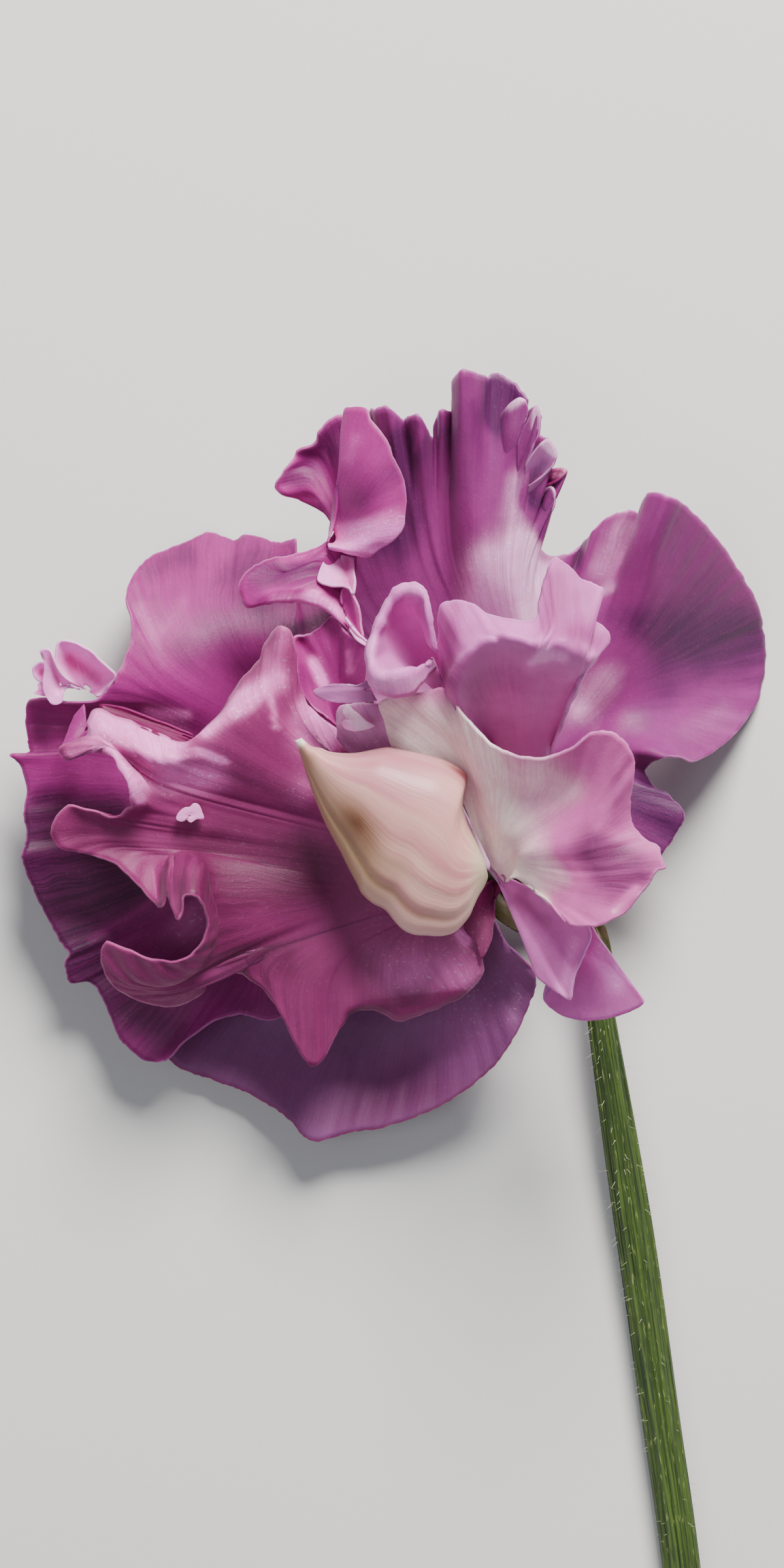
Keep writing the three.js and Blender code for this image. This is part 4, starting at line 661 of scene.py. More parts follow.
# %% Frills and green tips of bloom a
FRILLS_A = {
    "lower_strip_a": dict(finish="dusk", root=(10.4, -8.9, 20.8), sink=-0.3, rim=[
        (11.3, -10.1, 21.4), (12, -11.4, 22), (12.8, -13, 23), (13.4, -14.5, 24), (14, -15.4, 24.8),
        (14.75, -16, 25.4), (14.3, -17, 25.6), (14.3, -18.2, 26), (14.7, -19.4, 26.8), (15.2, -20, 27.6),
        (16, -20.6, 28.6), (17, -21.25, 29.6), (18, -21.8, 30.2), (18.2, -20.6, 30.6), (18.5, -19.3, 30.8),
        (18.95, -18.2, 31), (19.6, -16.6, 31.4), (20.1, -15.2, 32), (19, -13.4, 31.6), (16.6, -11.8, 29),
    ]),
    "lower_lobe_a": dict(finish="dusk", root=(17, -12.6, 23), sink=-0.5, rim=[
        (16.6, -19.4, 23.6), (16, -20.9, 23), (15.4, -21.9, 22.7), (16.4, -23, 22.3), (18, -23.8, 22.2),
        (20, -24.05, 22.4), (22, -23.8, 23), (23.7, -23.3, 23.6), (25.2, -22.6, 24.1), (25.6, -22.1, 24.4),
        (25.2, -21.4, 24.5), (24, -19.8, 24.6), (22.4, -17.5, 24.8), (21, -15.6, 25), (20.2, -14.2, 25.2),
    ]),
    "dark_fold_a": dict(finish="crimson", root=(10.6, -9.6, 17.4), sink=-0.2, rim=[
        (11.5, -10.2, 17.6), (10.8, -11.4, 17.6), (10.2, -12.3, 17.5), (10.4, -13.4, 17.3), (10.3, -15, 17),
        (9.9, -16.6, 16.8), (9.1, -17.9, 16.6), (8.6, -16.2, 16.8), (7.4, -14.8, 17), (7.6, -12.4, 17.4),
        (8.8, -10.6, 17.6),
    ]),
    "lower_sepal_a": dict(finish="green", root=(10.3, -9.6, 12.2), sink=-0.3, rim=[
        (11.2, -10, 12.9), (12, -11.5, 13.3), (12.8, -13.1, 13.4), (13.6, -14.8, 13.4),
        (14.05, -15.6, 13.3), (13.2, -15.3, 13.2), (12, -14.7, 13), (10.9, -13.9, 12.8), (10.1, -13, 12.6),
    ]),
    "bract_tip": dict(finish="green", root=(20.4, -13.4, 6), sink=-0.2, rim=[
        (21.3, -13.6, 6.8), (22, -14.8, 7), (22.4, -16.3, 7), (22.7, -18.3, 6.9), (21.8, -17.4, 7),
        (20.9, -15.8, 7), (20.2, -14.4, 6.8),
    ]),
    "torn_scrap_a": dict(finish="bright", root=(-20.7, -3.3, 17.4), sink=-0.05, rim=[
        (-21, -3.5, 17.35), (-21.5, -3.8, 17.35), (-22, -3.6, 17.35), (-21.9, -3.1, 17.4),
        (-21.4, -2.5, 17.5), (-20.6, -2.3, 17.55), (-20.2, -1.95, 17.6), (-19.6, -2.2, 17.6),
        (-19.4, -2.8, 17.55), (-19.2, -3.5, 17.5), (-19.9, -3.55, 17.45), (-20.5, -3.9, 17.4),
        (-20.9, -3.6, 17.35),
    ]),
}
FRILLS = {**FRILLS_C, **FRILLS_B, **FRILLS_A}
print(len(FRILLS), "frills in all")

# %% [markdown]
# ## Patches of pale and deep tissue, painted highlight and painted shade
# A petal isn't one even colour: it is bleached where it is thin or rolled, and deep where the tissue lies
# double. Many patches here are painted light as well: painted highlight where a lip, rim or fold catches
# the light, and painted shade where a petal lies under another or turns away from the light. Noise alone
# would put such places anywhere. Each patch here is a line between two places, x and y and x and y, then
# how far it reaches, and how much it lightens (+) or darkens (-) the petal.

# %% Patches
# Pale tissue and painted highlight (+), deep tissue and painted shade (-).
LIGHT_SHADE_AND_TONE_PATCHES = {
    "standard_a": [
        (-19, 5.4, -15, 8.2, 0.9, 0.9), (-15, 8.6, -11.6, 10.6, 1.2, 0.9),
        (-12, 12.6, -11.2, 15.4, 1.3, 0.4), (-12.3, 8.5, -11.9, 5.8, 0.4, 0.5),
        (-8.6, 7.6, -6, 5, 1.5, 0.8), (-19.6, 3.4, -17.2, 2.4, 0.4, 0.8), (-30, 6.4, -22.4, 3.7, 1.7, 1.0),
        (-33, 3.2, -30, 4, 0.8, 0.4), (-28.6, 3.6, -25.8, -1.6, 0.6, 0.9),
        (-21.4, -8.6, -19.6, -9, 1.2, 0.45), (-22.2, -13, -22, -12, 0.6, 0.4),
        (-34, -4.6, -32, -5.6, 2.2, -0.3), (-4, -15, 4, -18.5, 5, 0.24), (-13, -5, -22, -13, 6, -0.35),
        (-8, -27, -8, -20, 4, -0.4), (-17, -9, -10, -9.5, 4.5, -1.1), (-11.5, -18, -16, -17.6, 2.4, -0.8),
        (0, -20, 7, -19.6, 2.6, 0.35), (-25, 0.2, -19, 1, 2, 0.7), (-19, 0.6, -10, -1, 2.4, 0.3),
        (-8.6, 4.6, -6.6, 3.6, 2.4, 0.5), (4, -9.6, 8, -20, 3, 0.1), (-9, -0.5, -9.6, -4, 2, 0.25),
        (-31, -5, -27, -5.6, 3, -0.3), (-27.6, -19.6, -22, -21, 2, -0.1),
        (-4.2, -23.4, 7, -21.6, 0.6, -0.7), (-29, -18, -26, -20, 1.6, -0.1),
        (-31, -3.4, -29.4, -3.6, 0.5, 0.35), (7, -15.4, 7.6, -16, 0.5, 1.0),
        (-24.4, -9, -24, -11.6, 0.4, 0.6),
    ],
    "standard_a_outer": [
        (10, -20, 8, -29, 3.5, 0.3), (-18, -29, -12, -32, 2.5, -0.2), (-4, -33.5, 9, -30, 3, -0.6),
        (13, -21, 12.6, -24, 0.7, 0.4),
    ],
    "wing_a_right": [
        (-0.5, 6.5, 6, 3, 3.6, 1.0), (7.6, 4, 10, -5, 3.4, 1.0), (10.4, -7.5, 14.8, -11.4, 1.3, 0.9),
        (13, 0, 15, -5, 4.6, 0.35), (15, 1, 18, -0.4, 2, 0.4), (15, -8.6, 18, -9.4, 1.8, 0.6),
        (20.6, -7, 24, -9.5, 3.6, -1.1), (22.6, 0.6, 22.6, -1.6, 1.4, -0.4), (21, -4.4, 26, -6.4, 1, 0.3),
        (24.6, -10.6, 22.4, -12.8, 0.5, 0.9), (19.4, -11, 19, -14, 1.2, -0.2),
    ],
    "wing_a_left": [(-4, 6.4, 0, 5, 3.2, 0.4), (7.5, -3, 10.4, -9.4, 1.4, 1.0)],
    "lower_strip_a": [
        (12.4, -10.6, 15, -13.6, 1.6, -0.5), (15.4, -15.6, 16.2, -18, 1.4, -0.25),
        (18.4, -16, 17.2, -21, 0.8, 0.6), (11, -9.3, 12.4, -10.6, 0.5, 0.5),
        (14.4, -11.4, 15.6, -12.6, 0.5, 0.4),
    ],
    "lower_lobe_a": [
        (22.6, -20, 21, -17, 1.5, 0.9), (17, -23, 22, -23.6, 0.9, 0.3), (19.2, -19, 17.6, -21.6, 1, -0.35),
    ],
    "standard_b": [
        (13.4, 17, 13.4, 24, 1.6, 1.3), (10, 16, 10, 22, 2.4, 1.1), (12.8, 24, 12.4, 31, 1.5, 0.5),
        (15.4, 23.4, 15.6, 25, 1, -0.6), (9.8, 24, 10.6, 28, 2, 0.1), (9, 31, 9.6, 36, 3, -0.3),
        (15, 18, 15.6, 24, 1.4, 0.7), (-2.4, 14, -2.2, 24, 2.4, -0.4), (0, 26, 1, 33, 2.8, -1.0),
        (11.5, 38, 11, 41, 2.4, -0.7), (21.4, 22, 24, 26.4, 1.7, 0.42), (22.6, 20, 21.6, 19.6, 0.8, 0.4),
        (36, 15, 27, 14.6, 4.2, -1.0), (24.6, 17, 22, 17.4, 1.4, -0.2), (28, 26, 32, 21, 3, -0.35),
        (19.4, 8, 25, 13.6, 2.1, 0.55), (26, 7, 28, 9, 2, -0.4), (29, 5, 34, 7.6, 2.4, 0.16),
        (26, -1, 29, -4, 4, -1.0), (10.4, 38, 12, 40, 2, -0.9), (1, 36, 5, 36, 2, -0.3),
        (19, 22.4, 19.6, 24.8, 0.6, -0.8), (8.6, 40.4, 9.6, 35.4, 0.6, 0.4),
        (1.4, 33, 0.8, 35.4, 0.8, -0.4), (5.7, 36, 6, 30, 0.7, -0.4), (3, 36.4, 2.4, 34, 0.35, 0.4),
        (14.4, 28.8, 14.4, 29, 1.2, -1.0), (1, 22, 3, 28, 1.2, -0.2), (34, 8, 38, 12, 1, 0.1),
    ],
    "wing_b_right": [
        (6.4, 17.4, 13.6, 15.6, 1.3, 0.1), (17.8, 20.6, 19, 15.4, 2.4, -0.55),
        (15, 15.4, 20, 14.6, 1.2, -0.4), (16.2, 21, 16, 17, 1.2, -0.45), (14, 12.3, 15.4, 13.2, 0.7, 1.0),
        (15.6, 13.2, 17.2, 13, 0.9, 1.0), (8, 8, 14, 6, 5, -0.3), (8, 11, 14, 11, 3, -0.3),
        (5.4, 11, 6.4, 18, 1.1, -0.6),
    ],
    "wing_b_left": [
        (-1.4, 10.2, 2.8, 10.2, 1, 1.0), (1.4, 19.6, 3, 19.4, 0.8, 0.45), (-2.3, 12, -2.2, 15, 0.6, 0.5),
    ],
    "standard_c": [
        (-20, 14, -15, 18, 3.4, -0.5), (-20, 22, -14, 23.4, 2.4, -0.45), (-36, -6, -33, -6, 2.6, -0.7),
        (-37, -12, -35, -10, 2, -0.7), (-25, 22, -21.4, 24, 1.4, -0.5), (-23, 16, -17.6, 24.4, 1.3, 0.3),
        (-25.8, 18, -23.4, 12.6, 1, 0.3), (-24, 7, -21.4, 6.2, 0.8, 0.3), (-13, 20, -12.6, 16, 2.4, -0.3),
        (-11, 15.4, -7, 17, 1, -0.9), (-34, -9, -27, -12, 5, -1.0), (-33, -17.6, -30, -20, 3.4, -1.0),
        (-36, -3.6, -30, -4.4, 2.4, -0.7), (-35, -5, -28, -5, 2.6, -0.8), (-36, -1, -28, -2, 2, -0.35),
        (-36, 7, -36, 4.6, 1.4, -0.3), (-27, -24, -23, -26, 3, -0.6), (-25.2, 7.6, -21, 7.2, 0.6, 0.6),
        (-31, -16, -25, -12.4, 0.5, 0.45), (-26, -15.5, -21, -14, 3, 0.6),
        (-16, -22.6, -12, -22.4, 1.6, -0.3), (-37, 6, -34, 5.8, 0.25, 0.4),
        (-37, 3.9, -36.4, 3.9, 0.2, 0.5), (-33, 9.2, -31, 9, 1, -0.4),
    ],
    "wing_c_right": [
        (-12, 19, -8, 19.1, 0.8, 0.75), (-8, 19.1, -5, 17.2, 0.8, 0.75), (-11, 23, -8.6, 23.2, 0.5, 0.8),
        (-10, 31.4, -7, 34, 3.2, -0.8), (-11, 29.8, -6, 28.8, 0.8, 0.6), (-6.4, 28.6, -5.4, 29, 0.7, -0.5),
        (-13.4, 21.2, -8.4, 21.8, 2, -0.9), (-6, 35, -5.4, 36.2, 1.1, -0.6),
        (-10.6, 32.8, -9.8, 33.4, 0.4, 0.9),
    ],
    "wing_c_left": [
        (-9, 15.4, -6.8, 17, 0.7, -0.9), (-7.9, 12.4, -7, 10.4, 0.75, 1.0), (-3.4, 11, -3, 13, 1.2, 0.15),
        (-9.4, 12, -9, 9.4, 0.6, -0.4), (-5, 15, -5.3, 11, 0.3, -0.5), (-4.4, 13.4, -4.2, 11.6, 0.5, 0.6),
    ],
    "front_blade_c": [
        (-3.4, 28.8, 0.4, 31.8, 1.6, -0.6), (-5.4, 24.6, 0.3, 25.6, 2, 1.2),
        (-3.6, 35, -4.4, 33, 0.9, 0.25),
    ],
    "inner_strip_c": [(-4.6, 22.4, -4.4, 20.6, 0.9, -0.7)],
    "inner_edge_c": [(-3.1, 15.4, -3.8, 19.4, 0.3, 0.6), (-4.6, 18.6, -3.8, 17, 0.5, -0.3)],
    "lower_tip_c": [(-4.5, 7.6, -3, 6, 1, 0.9)],
    "bud_curl_c": [(-33, 12.8, -30.4, 10.9, 1.0, -0.75), (-33, 14.3, -31, 13.2, 0.4, 0.4)],
    "flap_curl_c": [(-34.9, 12.8, -34.4, 11, 0.6, -0.4)],
    "small_curl_c": [(-36, 11.4, -35.9, 11.6, 0.4, -0.7)],
    "fringe_top_b": [(12, 38.5, 13.2, 39.2, 0.5, 0.8), (11.4, 36, 12.6, 37, 1, 0.1)],
    "fringe_upper_b": [(14.6, 38, 14.6, 36.4, 0.45, 0.9)],
    "fringe_middle_b": [(15.4, 34.8, 16.6, 33.6, 0.45, 0.9), (15.4, 32.6, 14.6, 31.6, 0.8, -0.6)],
    "fringe_tongue_b": [(16.6, 31.6, 17.6, 31.8, 0.5, 0.8)],
    "fringe_curl_b": [(14.6, 28.6, 15, 29.2, 0.8, -1.0)],
    "dark_fold_a": [(9.6, -14.4, 9.4, -16.6, 1.4, 0.4)],
}
print(sum(map(len, LIGHT_SHADE_AND_TONE_PATCHES.values())), "patches")

# %% [markdown]
# ## From veins to a blade
# A smooth curve runs through each vein's points, and another one across the veins joins them. The middle
# of a blade is evened out, because it is as taut as satin. A subdivision surface would do some of this,
# but it would also pull the margin in, and the margin's outline is what the flower is known by.

# %% Curves
STEPS_PER_POINT = 24


def spline(points, x):
    """Points on a smooth curve through `points`, at places x counted in points."""
    points = np.asarray(points, float)
    padded = np.concatenate([2 * points[:1] - points[1:2], points, 2 * points[-1:] - points[-2:-1]])
    i = np.clip(np.floor(x).astype(int), 0, len(points) - 2)
    f = (x - i).reshape((-1,) + (1,) * (points.ndim - 1))
    a, b, c, d = (padded[i + k] for k in range(4))
    bend = (2 * a - 5 * b + 4 * c - d) * f**2 + (3 * b - a - 3 * c + d) * f**3
    return 0.5 * (2 * b + (c - a) * f + bend)


def dense(points):
    return spline(points, np.linspace(0, len(points) - 1, STEPS_PER_POINT * (len(points) - 1)))


def lengths(line):
    """How far along a line each of its points lies."""
    return np.concatenate([[0], np.cumsum(np.linalg.norm(np.diff(line, axis=0), axis=1))])


def resample(line, shares):
    """Points at the given shares of a dense line's length."""
    length = lengths(line)
    return np.stack([np.interp(shares * length[-1], length, line[:, k]) for k in range(3)], axis=1)


def smoothstep(x, low, high):
    t = np.clip((x - low) / (high - low), 0, 1)
    return t * t * (3 - 2 * t)


def unit(vectors):
    """The same directions with a length of 1."""
    return vectors / np.maximum(np.linalg.norm(vectors, axis=-1, keepdims=True), 1e-9)


print("curves ready")

# %% Veins of a petal and of a frill
CLAW_WIDTH = 1.8  # a petal's narrow foot in the calyx
CLAW_SPACING = 1.0  # from one place in the calyx to the next
CLAW_DEPTH = 1.9  # below the calyx mouth
THROAT_WIDTH = 2.4  # where a petal leaves the calyx and starts to widen
NECK_SHARE = 0.22  # of a petal's length, where its claw stands upright
NECK_RISE = 2.2  # how steeply a petal leaves its claw
FRILL_START, FRILL_MIDDLE = 0.12, 0.6  # along a frill's veins


def petal_veins(petal, shares):
    """Every vein of a petal that stands in a calyx, as points at the same shares of its length."""
    bloom = BLOOMS[petal["bloom"]]
    spread = unit(np.array([*bloom["spread"], 0.0]))
    veins = [np.array(vein, float) for vein in petal["veins"]]
    side = np.array([-spread[1], spread[0], 0.0])
    if (veins[-1][0] - veins[0][0]) @ side < 0:
        side = -side
    foot = np.array(bloom["mouth"]) + spread * petal["place"] * CLAW_SPACING - [0, 0, CLAW_DEPTH]
    claw = shares < NECK_SHARE
    rows = []
    for k, vein in enumerate(veins):
        share = k / (len(veins) - 1) - 0.5
        start = foot + side * share * CLAW_WIDTH
        neck = foot + side * share * THROAT_WIDTH
        neck[2] = petal["throat"]
        belly = (neck + vein[0]) / 2 - [0, 0, petal["cup"]]
        below = belly - [0, 0, 2 * NECK_RISE]
        curve = dense(np.array([below, neck, belly, *vein]))[STEPS_PER_POINT:]
        blade = resample(curve, (shares[~claw] - NECK_SHARE) / (1 - NECK_SHARE))
        upright = start + (neck - start) * (shares[claw] / NECK_SHARE)[:, None]
        rows.append(np.concatenate([upright, blade]))
    return np.array(rows)


def frill_veins(frill, shares):
    """The veins of a frill, from its root to its rim, with their middles sunk or raised."""
    root = np.array(frill["root"], float)
    rows = []
    for rim in np.array(frill["rim"], float):
        near = root + FRILL_START * (rim - root)
        middle = root + FRILL_MIDDLE * (rim - root) - [0, 0, frill["sink"]]
        rows.append(resample(dense(np.array([near, middle, rim])), shares))
    return np.array(rows)


print("veins ready")

# %% The surface between the veins
LEVEL_FADE = (0.76, 0.98)  # from and to which share of the length the levelling of heights fades
CROWD_WINDOW = 23  # columns that crowding is averaged over


def surface_grid(veins, shares, columns, calm):
    """A blade's middle surface as rows by columns of points, and each column's place along the margin."""
    passes, start, end, reach = calm
    even = veins.copy()
    for _ in range(passes):
        even[1:-1] = 0.25 * even[:-2] + 0.5 * even[1:-1] + 0.25 * even[2:]
    keep = smoothstep(shares, start, end)[None, :, None]
    veins = even * (1 - keep) + veins * keep
    grid = spline(veins, np.linspace(0, len(veins) - 1, columns + 1)).transpose(1, 0, 2)
    for row, stay in zip(grid, smoothstep(shares, *LEVEL_FADE)):
        walk = lengths(row[:, :2])
        near = np.exp(-(((walk[:, None] - walk[None, :]) / reach) ** 2)) * np.gradient(walk)[None, :]
        level = near @ row[:, 2] / np.maximum(near.sum(axis=1), 1e-9)
        row[:, 2] += (level - row[:, 2]) * (1 - stay)
    return grid, lengths(grid[-1])


def crowding(grid):
    """How close the columns run at each point, where 1 is as far apart as at the margin."""
    gaps = np.linalg.norm(np.gradient(grid, axis=1), axis=2)
    window = np.hanning(CROWD_WINDOW) / np.hanning(CROWD_WINDOW).sum()
    padded = np.pad(gaps, ((0, 0), (CROWD_WINDOW // 2, CROWD_WINDOW // 2)), mode="edge")
    smooth = np.array([np.convolve(row, window, mode="valid") for row in padded])
    return np.clip(smooth / np.maximum(smooth[-1:], 1e-6), 0, 1)


def normals_of(grid):
    return unit(np.cross(np.gradient(grid, axis=1), np.gradient(grid, axis=0)))


print("surfaces ready")

# %% Waves and patches on it
WAVE_DRIFT = 0.35  # of a wavelength, by which a wave runs early or late
DRIFT_LENGTH = 5.3  # wavelengths from one drift to the next


def ripple(x, seed, wavelengths):
    """A smooth random wave of x, from -1 to 1 or so, with the given wavelengths."""
    dice = np.random.default_rng(seed)
    total = np.zeros_like(x)
    for wavelength in wavelengths:
        drift = np.sin(2 * math.pi * x / (wavelength * DRIFT_LENGTH) + dice.uniform(0, 6.3))
        stretched = x + WAVE_DRIFT * wavelength * drift
        total += np.sin(2 * math.pi * stretched / wavelength + dice.uniform(0, 6.3)) / len(wavelengths)
    return total


def light_shade_and_tone_share(grid, patches):
    """How much each point is lightened (+) or darkened (-) by the patches near it: painted highlight and pale
    tissue, painted shade and deep tissue.
    """
    total = np.zeros(grid.shape[:2])
    for x0, y0, x1, y1, reach, amount in patches:
        start, run = np.array([x0, y0]), np.array([x1 - x0, y1 - y0])
        offset = grid[:, :, :2] - start
        t = np.clip(offset @ run / max(run @ run, 1e-9), 0, 1)
        distance = np.linalg.norm(offset - t[:, :, None] * run, axis=2)
        total += amount * np.exp(-((distance / reach) ** 2))
    return np.clip(total, -1, 1)


print("waves and patches ready")

# %% [markdown]
# ## Blades as meshes
# One flat grid from the grid operator is bent onto the surface, so that its columns run along the veins.
# Filling the margin's outline with faces would be shorter, but it leaves no columns to pleat. Pleats follow
# the veins, crinkles grow towards the margin, because a sweet pea's rim grows faster than its middle, and
# the last row is nibbled a little. A Solidify modifier then gives the blade its thickness.

# %% Bent grids
UV_SPAN = 100  # millimetres of the drawing for 1 in the UV map


def bend(grid, around, along, masks):
    """A flat grid bent onto rows by columns of points. around and along are its columns' and rows' UV."""
    rows, columns = grid.shape[0] - 1, grid.shape[1] - 1
    shape = bmesh.new()
    bmesh.ops.create_grid(shape, x_segments=columns, y_segments=rows, size=1.0)
    around_along = shape.loops.layers.uv.new("petal")
    layers = {name: shape.verts.layers.float.new(name) for name in masks}
    metres = (grid - REST_SPOT) * MM
    places = []
    for vert in shape.verts:
        column, row = round((vert.co.x + 1) / 2 * columns), round((vert.co.y + 1) / 2 * rows)
        places.append((column, row))
        for name, layer in layers.items():
            vert[layer] = masks[name][row, column]
        vert.co = metres[row, column]
    shape.verts.index_update()
    for face in shape.faces:
        for loop in face.loops:
            column, row = places[loop.vert.index]
            loop[around_along].uv = (around[column], along[row])
        face.smooth = True
    return shape


def shown(name, shape):
    """The finished shape as a piece of the flower."""
    mesh = bpy.data.meshes.new(name)
    shape.to_mesh(mesh)
    shape.free()
    piece = bpy.data.objects.new(name, mesh)
    bpy.context.scene.collection.objects.link(piece)
    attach(piece, "root")
    return piece


def thicken(piece, thickness, offset):
    wall = piece.modifiers.new("thickness", "SOLIDIFY")
    wall.thickness = thickness * MM
    wall.offset = offset


print("grids can be bent")

# %% Petal blades
BLADE = 0.24  # thickness
LOWEST = BLADE / 2 + 0.12  # above the floor, for the middle of a blade
SHORTEST_STEP = 0.42  # between columns at the margin
TRIAL_COLUMNS = 400  # to measure the margin with
FEWEST_COLUMNS, MOST_COLUMNS = 40, 600
PLEAT_WAVES = [1.1, 1.9, 3.1]
CRINKLE_WAVES = [2.7, 4.6]
NIBBLE_WAVES = [0.9, 1.7, 2.9]
CRINKLE_SEED, NIBBLE_SEED = 7, 13  # added to a blade's own seed
OPEN_FADE = (0.3, 0.9)  # where veins crowd more than this there are no pleats
RIM_FADE = (0.7, 1.0)  # of the length, over which the crinkles grow


def make_blade(name, veins, shares, patches, calm, waves, seed):
    """A blade over the veins. waves says how many millimetres it is pleated, crinkled and nibbled."""
    pleat, crinkle, nibble = waves
    _, margin = surface_grid(veins, shares, TRIAL_COLUMNS, calm)
    columns = int(np.clip(margin[-1] / SHORTEST_STEP, FEWEST_COLUMNS, MOST_COLUMNS))
    grid, margin = surface_grid(veins, shares, columns, calm)
    open_part = smoothstep(crowding(grid), *OPEN_FADE)
    near_rim = smoothstep(shares[:, None], *RIM_FADE)
    pleats = pleat * open_part * ripple(margin, seed, PLEAT_WAVES)
    crinkles = crinkle * open_part * near_rim * ripple(margin, seed + CRINKLE_SEED, CRINKLE_WAVES)
    grid = grid + normals_of(grid) * (pleats + crinkles)[:, :, None]
    outward = unit(grid[-1] - grid[-3])
    grid[-1] += outward * (nibble * ripple(margin, seed + NIBBLE_SEED, NIBBLE_WAVES))[:, None]
    grid[:, :, 2] = np.maximum(grid[:, :, 2], LOWEST)
    # The patches' painted highlight and painted shade, with pale and deep tissue, go on the mesh as a mask.
    masks = {"light_shade_tone": light_shade_and_tone_share(grid, patches), "fan": crowding(grid)}
    piece = shown(name, bend(grid, margin / UV_SPAN, shares, masks))
    thicken(piece, BLADE, 0.0)
    print(name, columns, "x", len(shares) - 1, "margin", round(margin[-1]), "mm")
    return piece


# %% [markdown]
# ## Petal finish
# A petal's tissue is a thin layer of domed cells: it glitters, lets light through, and carries fine veins
# that fan out with the blade. The rim is a thin lighter line. A painted picture could give all that, but
# it would have one fixed fineness. Noise that is stretched along the UV map draws the veins at any size.
# The glitter is painted glints: near-white flecks in the colour. The masks on the mesh mix in the patches,
# which are painted highlight and painted shade as well as pale and deep tissue.

# %% Petal finish
VEIN_STRETCHES = (1.0, 3.0, 9.0)  # each pattern is this much wider, for where the veins crowd
# Painted glint: near-white flecks mixed into the base colour stand in for the glitter of the domed cells.
PAINTED_GLINT = (1.0, 0.93, 0.98, 1.0)


def vein_noise(r, around, along, fan, per_margin, detail):
    """Streaks along the veins that stay about as fine where the veins run close together."""
    layers = []
    for part in VEIN_STRETCHES:
        spot = r.vector(around * (per_margin / part), along * (3.0 / part + 1.0), part)
        layers.append(r.noise(spot, 1.0, detail=detail, roughness=0.6))
    near, far = fan.ramp(0.4, 0.8), fan.ramp(0.26, 0.1)
    return layers[0] * near + layers[2] * far + layers[1] * ((1.0 - near) * (1.0 - far))


def petal_finish(name, tints, streak, heart=None, heart_end=0.3, rim_share=0.3):
    """heart is the colour near the claw, up to heart_end of the blade's length."""
    blade, vein, pale, deep, rim = (colour(*tint) for tint in tints)
    r = Recipe(name)
    around, along = r.on_petal()
    body = r.on_object()
    light_shade_tone = r.node("ShaderNodeAttribute", attribute_name="light_shade_tone").amount("Fac")
    fan = r.node("ShaderNodeAttribute", attribute_name="fan").amount("Fac")
    cloud = r.noise(body, 190.0, detail=3.0)  # soft, a few millimetres wide
    mottle = r.noise(body, 620.0, detail=3.0, roughness=0.6)  # finer
    painted_glints = r.noise(body, 3000.0).ramp(0.6, 0.7)  # the glitter
    cells = r.node("ShaderNodeTexVoronoi", {"Vector": body, "Scale": 4300.0}, feature="F1").amount("Distance")
    wavy = around + (cloud - 0.5) * 0.02 + (mottle - 0.5) * 0.003
    wide_veins = vein_noise(r, wavy, along, fan, 95.0, 2.0)
    fine_veins = vein_noise(r, wavy, along, fan, 330.0, 3.0)
    streaks = (wide_veins * 0.3 + fine_veins * 0.7).ramp(0.42, 0.62)
    # Painted light: above 0 the patches mix in the pale tint, as painted highlight and pale tissue; below 0
    # the deep tint, as painted shade and deep tissue.
    highlight_and_pale = (light_shade_tone * (0.55 + cloud * 0.9)).ramp(0.0, 1.0)
    shade_and_deep = (light_shade_tone * (cloud * -0.9 - 0.55)).ramp(0.0, 1.0)
    near_claw = (along + (cloud - 0.5) * 0.2).ramp(heart_end + 0.18, heart_end - 0.15)
    open_share = fan.ramp(0.1, 0.55)
    tint = r.mix(streaks * streak * (0.3 + open_share * 0.7), blade, vein)
    tint = r.mix(near_claw, tint, heart or blade)
    tint = r.mix(shade_and_deep * (0.8 + streaks * 0.2), tint, deep)
    tint = r.mix(highlight_and_pale * (1.0 - streaks * 0.25), tint, pale)
    tint = r.mix(mottle.ramp(0.35, 0.7) * 0.12, tint, deep)
    # Painted glints, more of them where the patches paint highlight.
    tint = r.mix(painted_glints * (highlight_and_pale * 0.35 + 0.015), tint, PAINTED_GLINT)
    tint = r.mix(along.ramp(0.994, 0.999) * rim_share, tint, rim)
    lift = (fine_veins * 0.6 + wide_veins * 0.3) * open_share + cells * 0.2 + mottle * 0.3
    values = {
        "Base Color": tint,
        "Roughness": 0.48 + (cloud - 0.5) * 0.2 + cells * 0.1,
        "Subsurface Weight": 0.5,
        "Subsurface Radius": (1.0, 0.5, 0.8),
        "Subsurface Scale": 0.0009,
        "Sheen Weight": 0.05,
        "Sheen Roughness": 0.35,
        "Specular IOR Level": 0.3,
    }
    return r.finish(values, lift, 0.32, 0.0002)


print("petal finish ready")

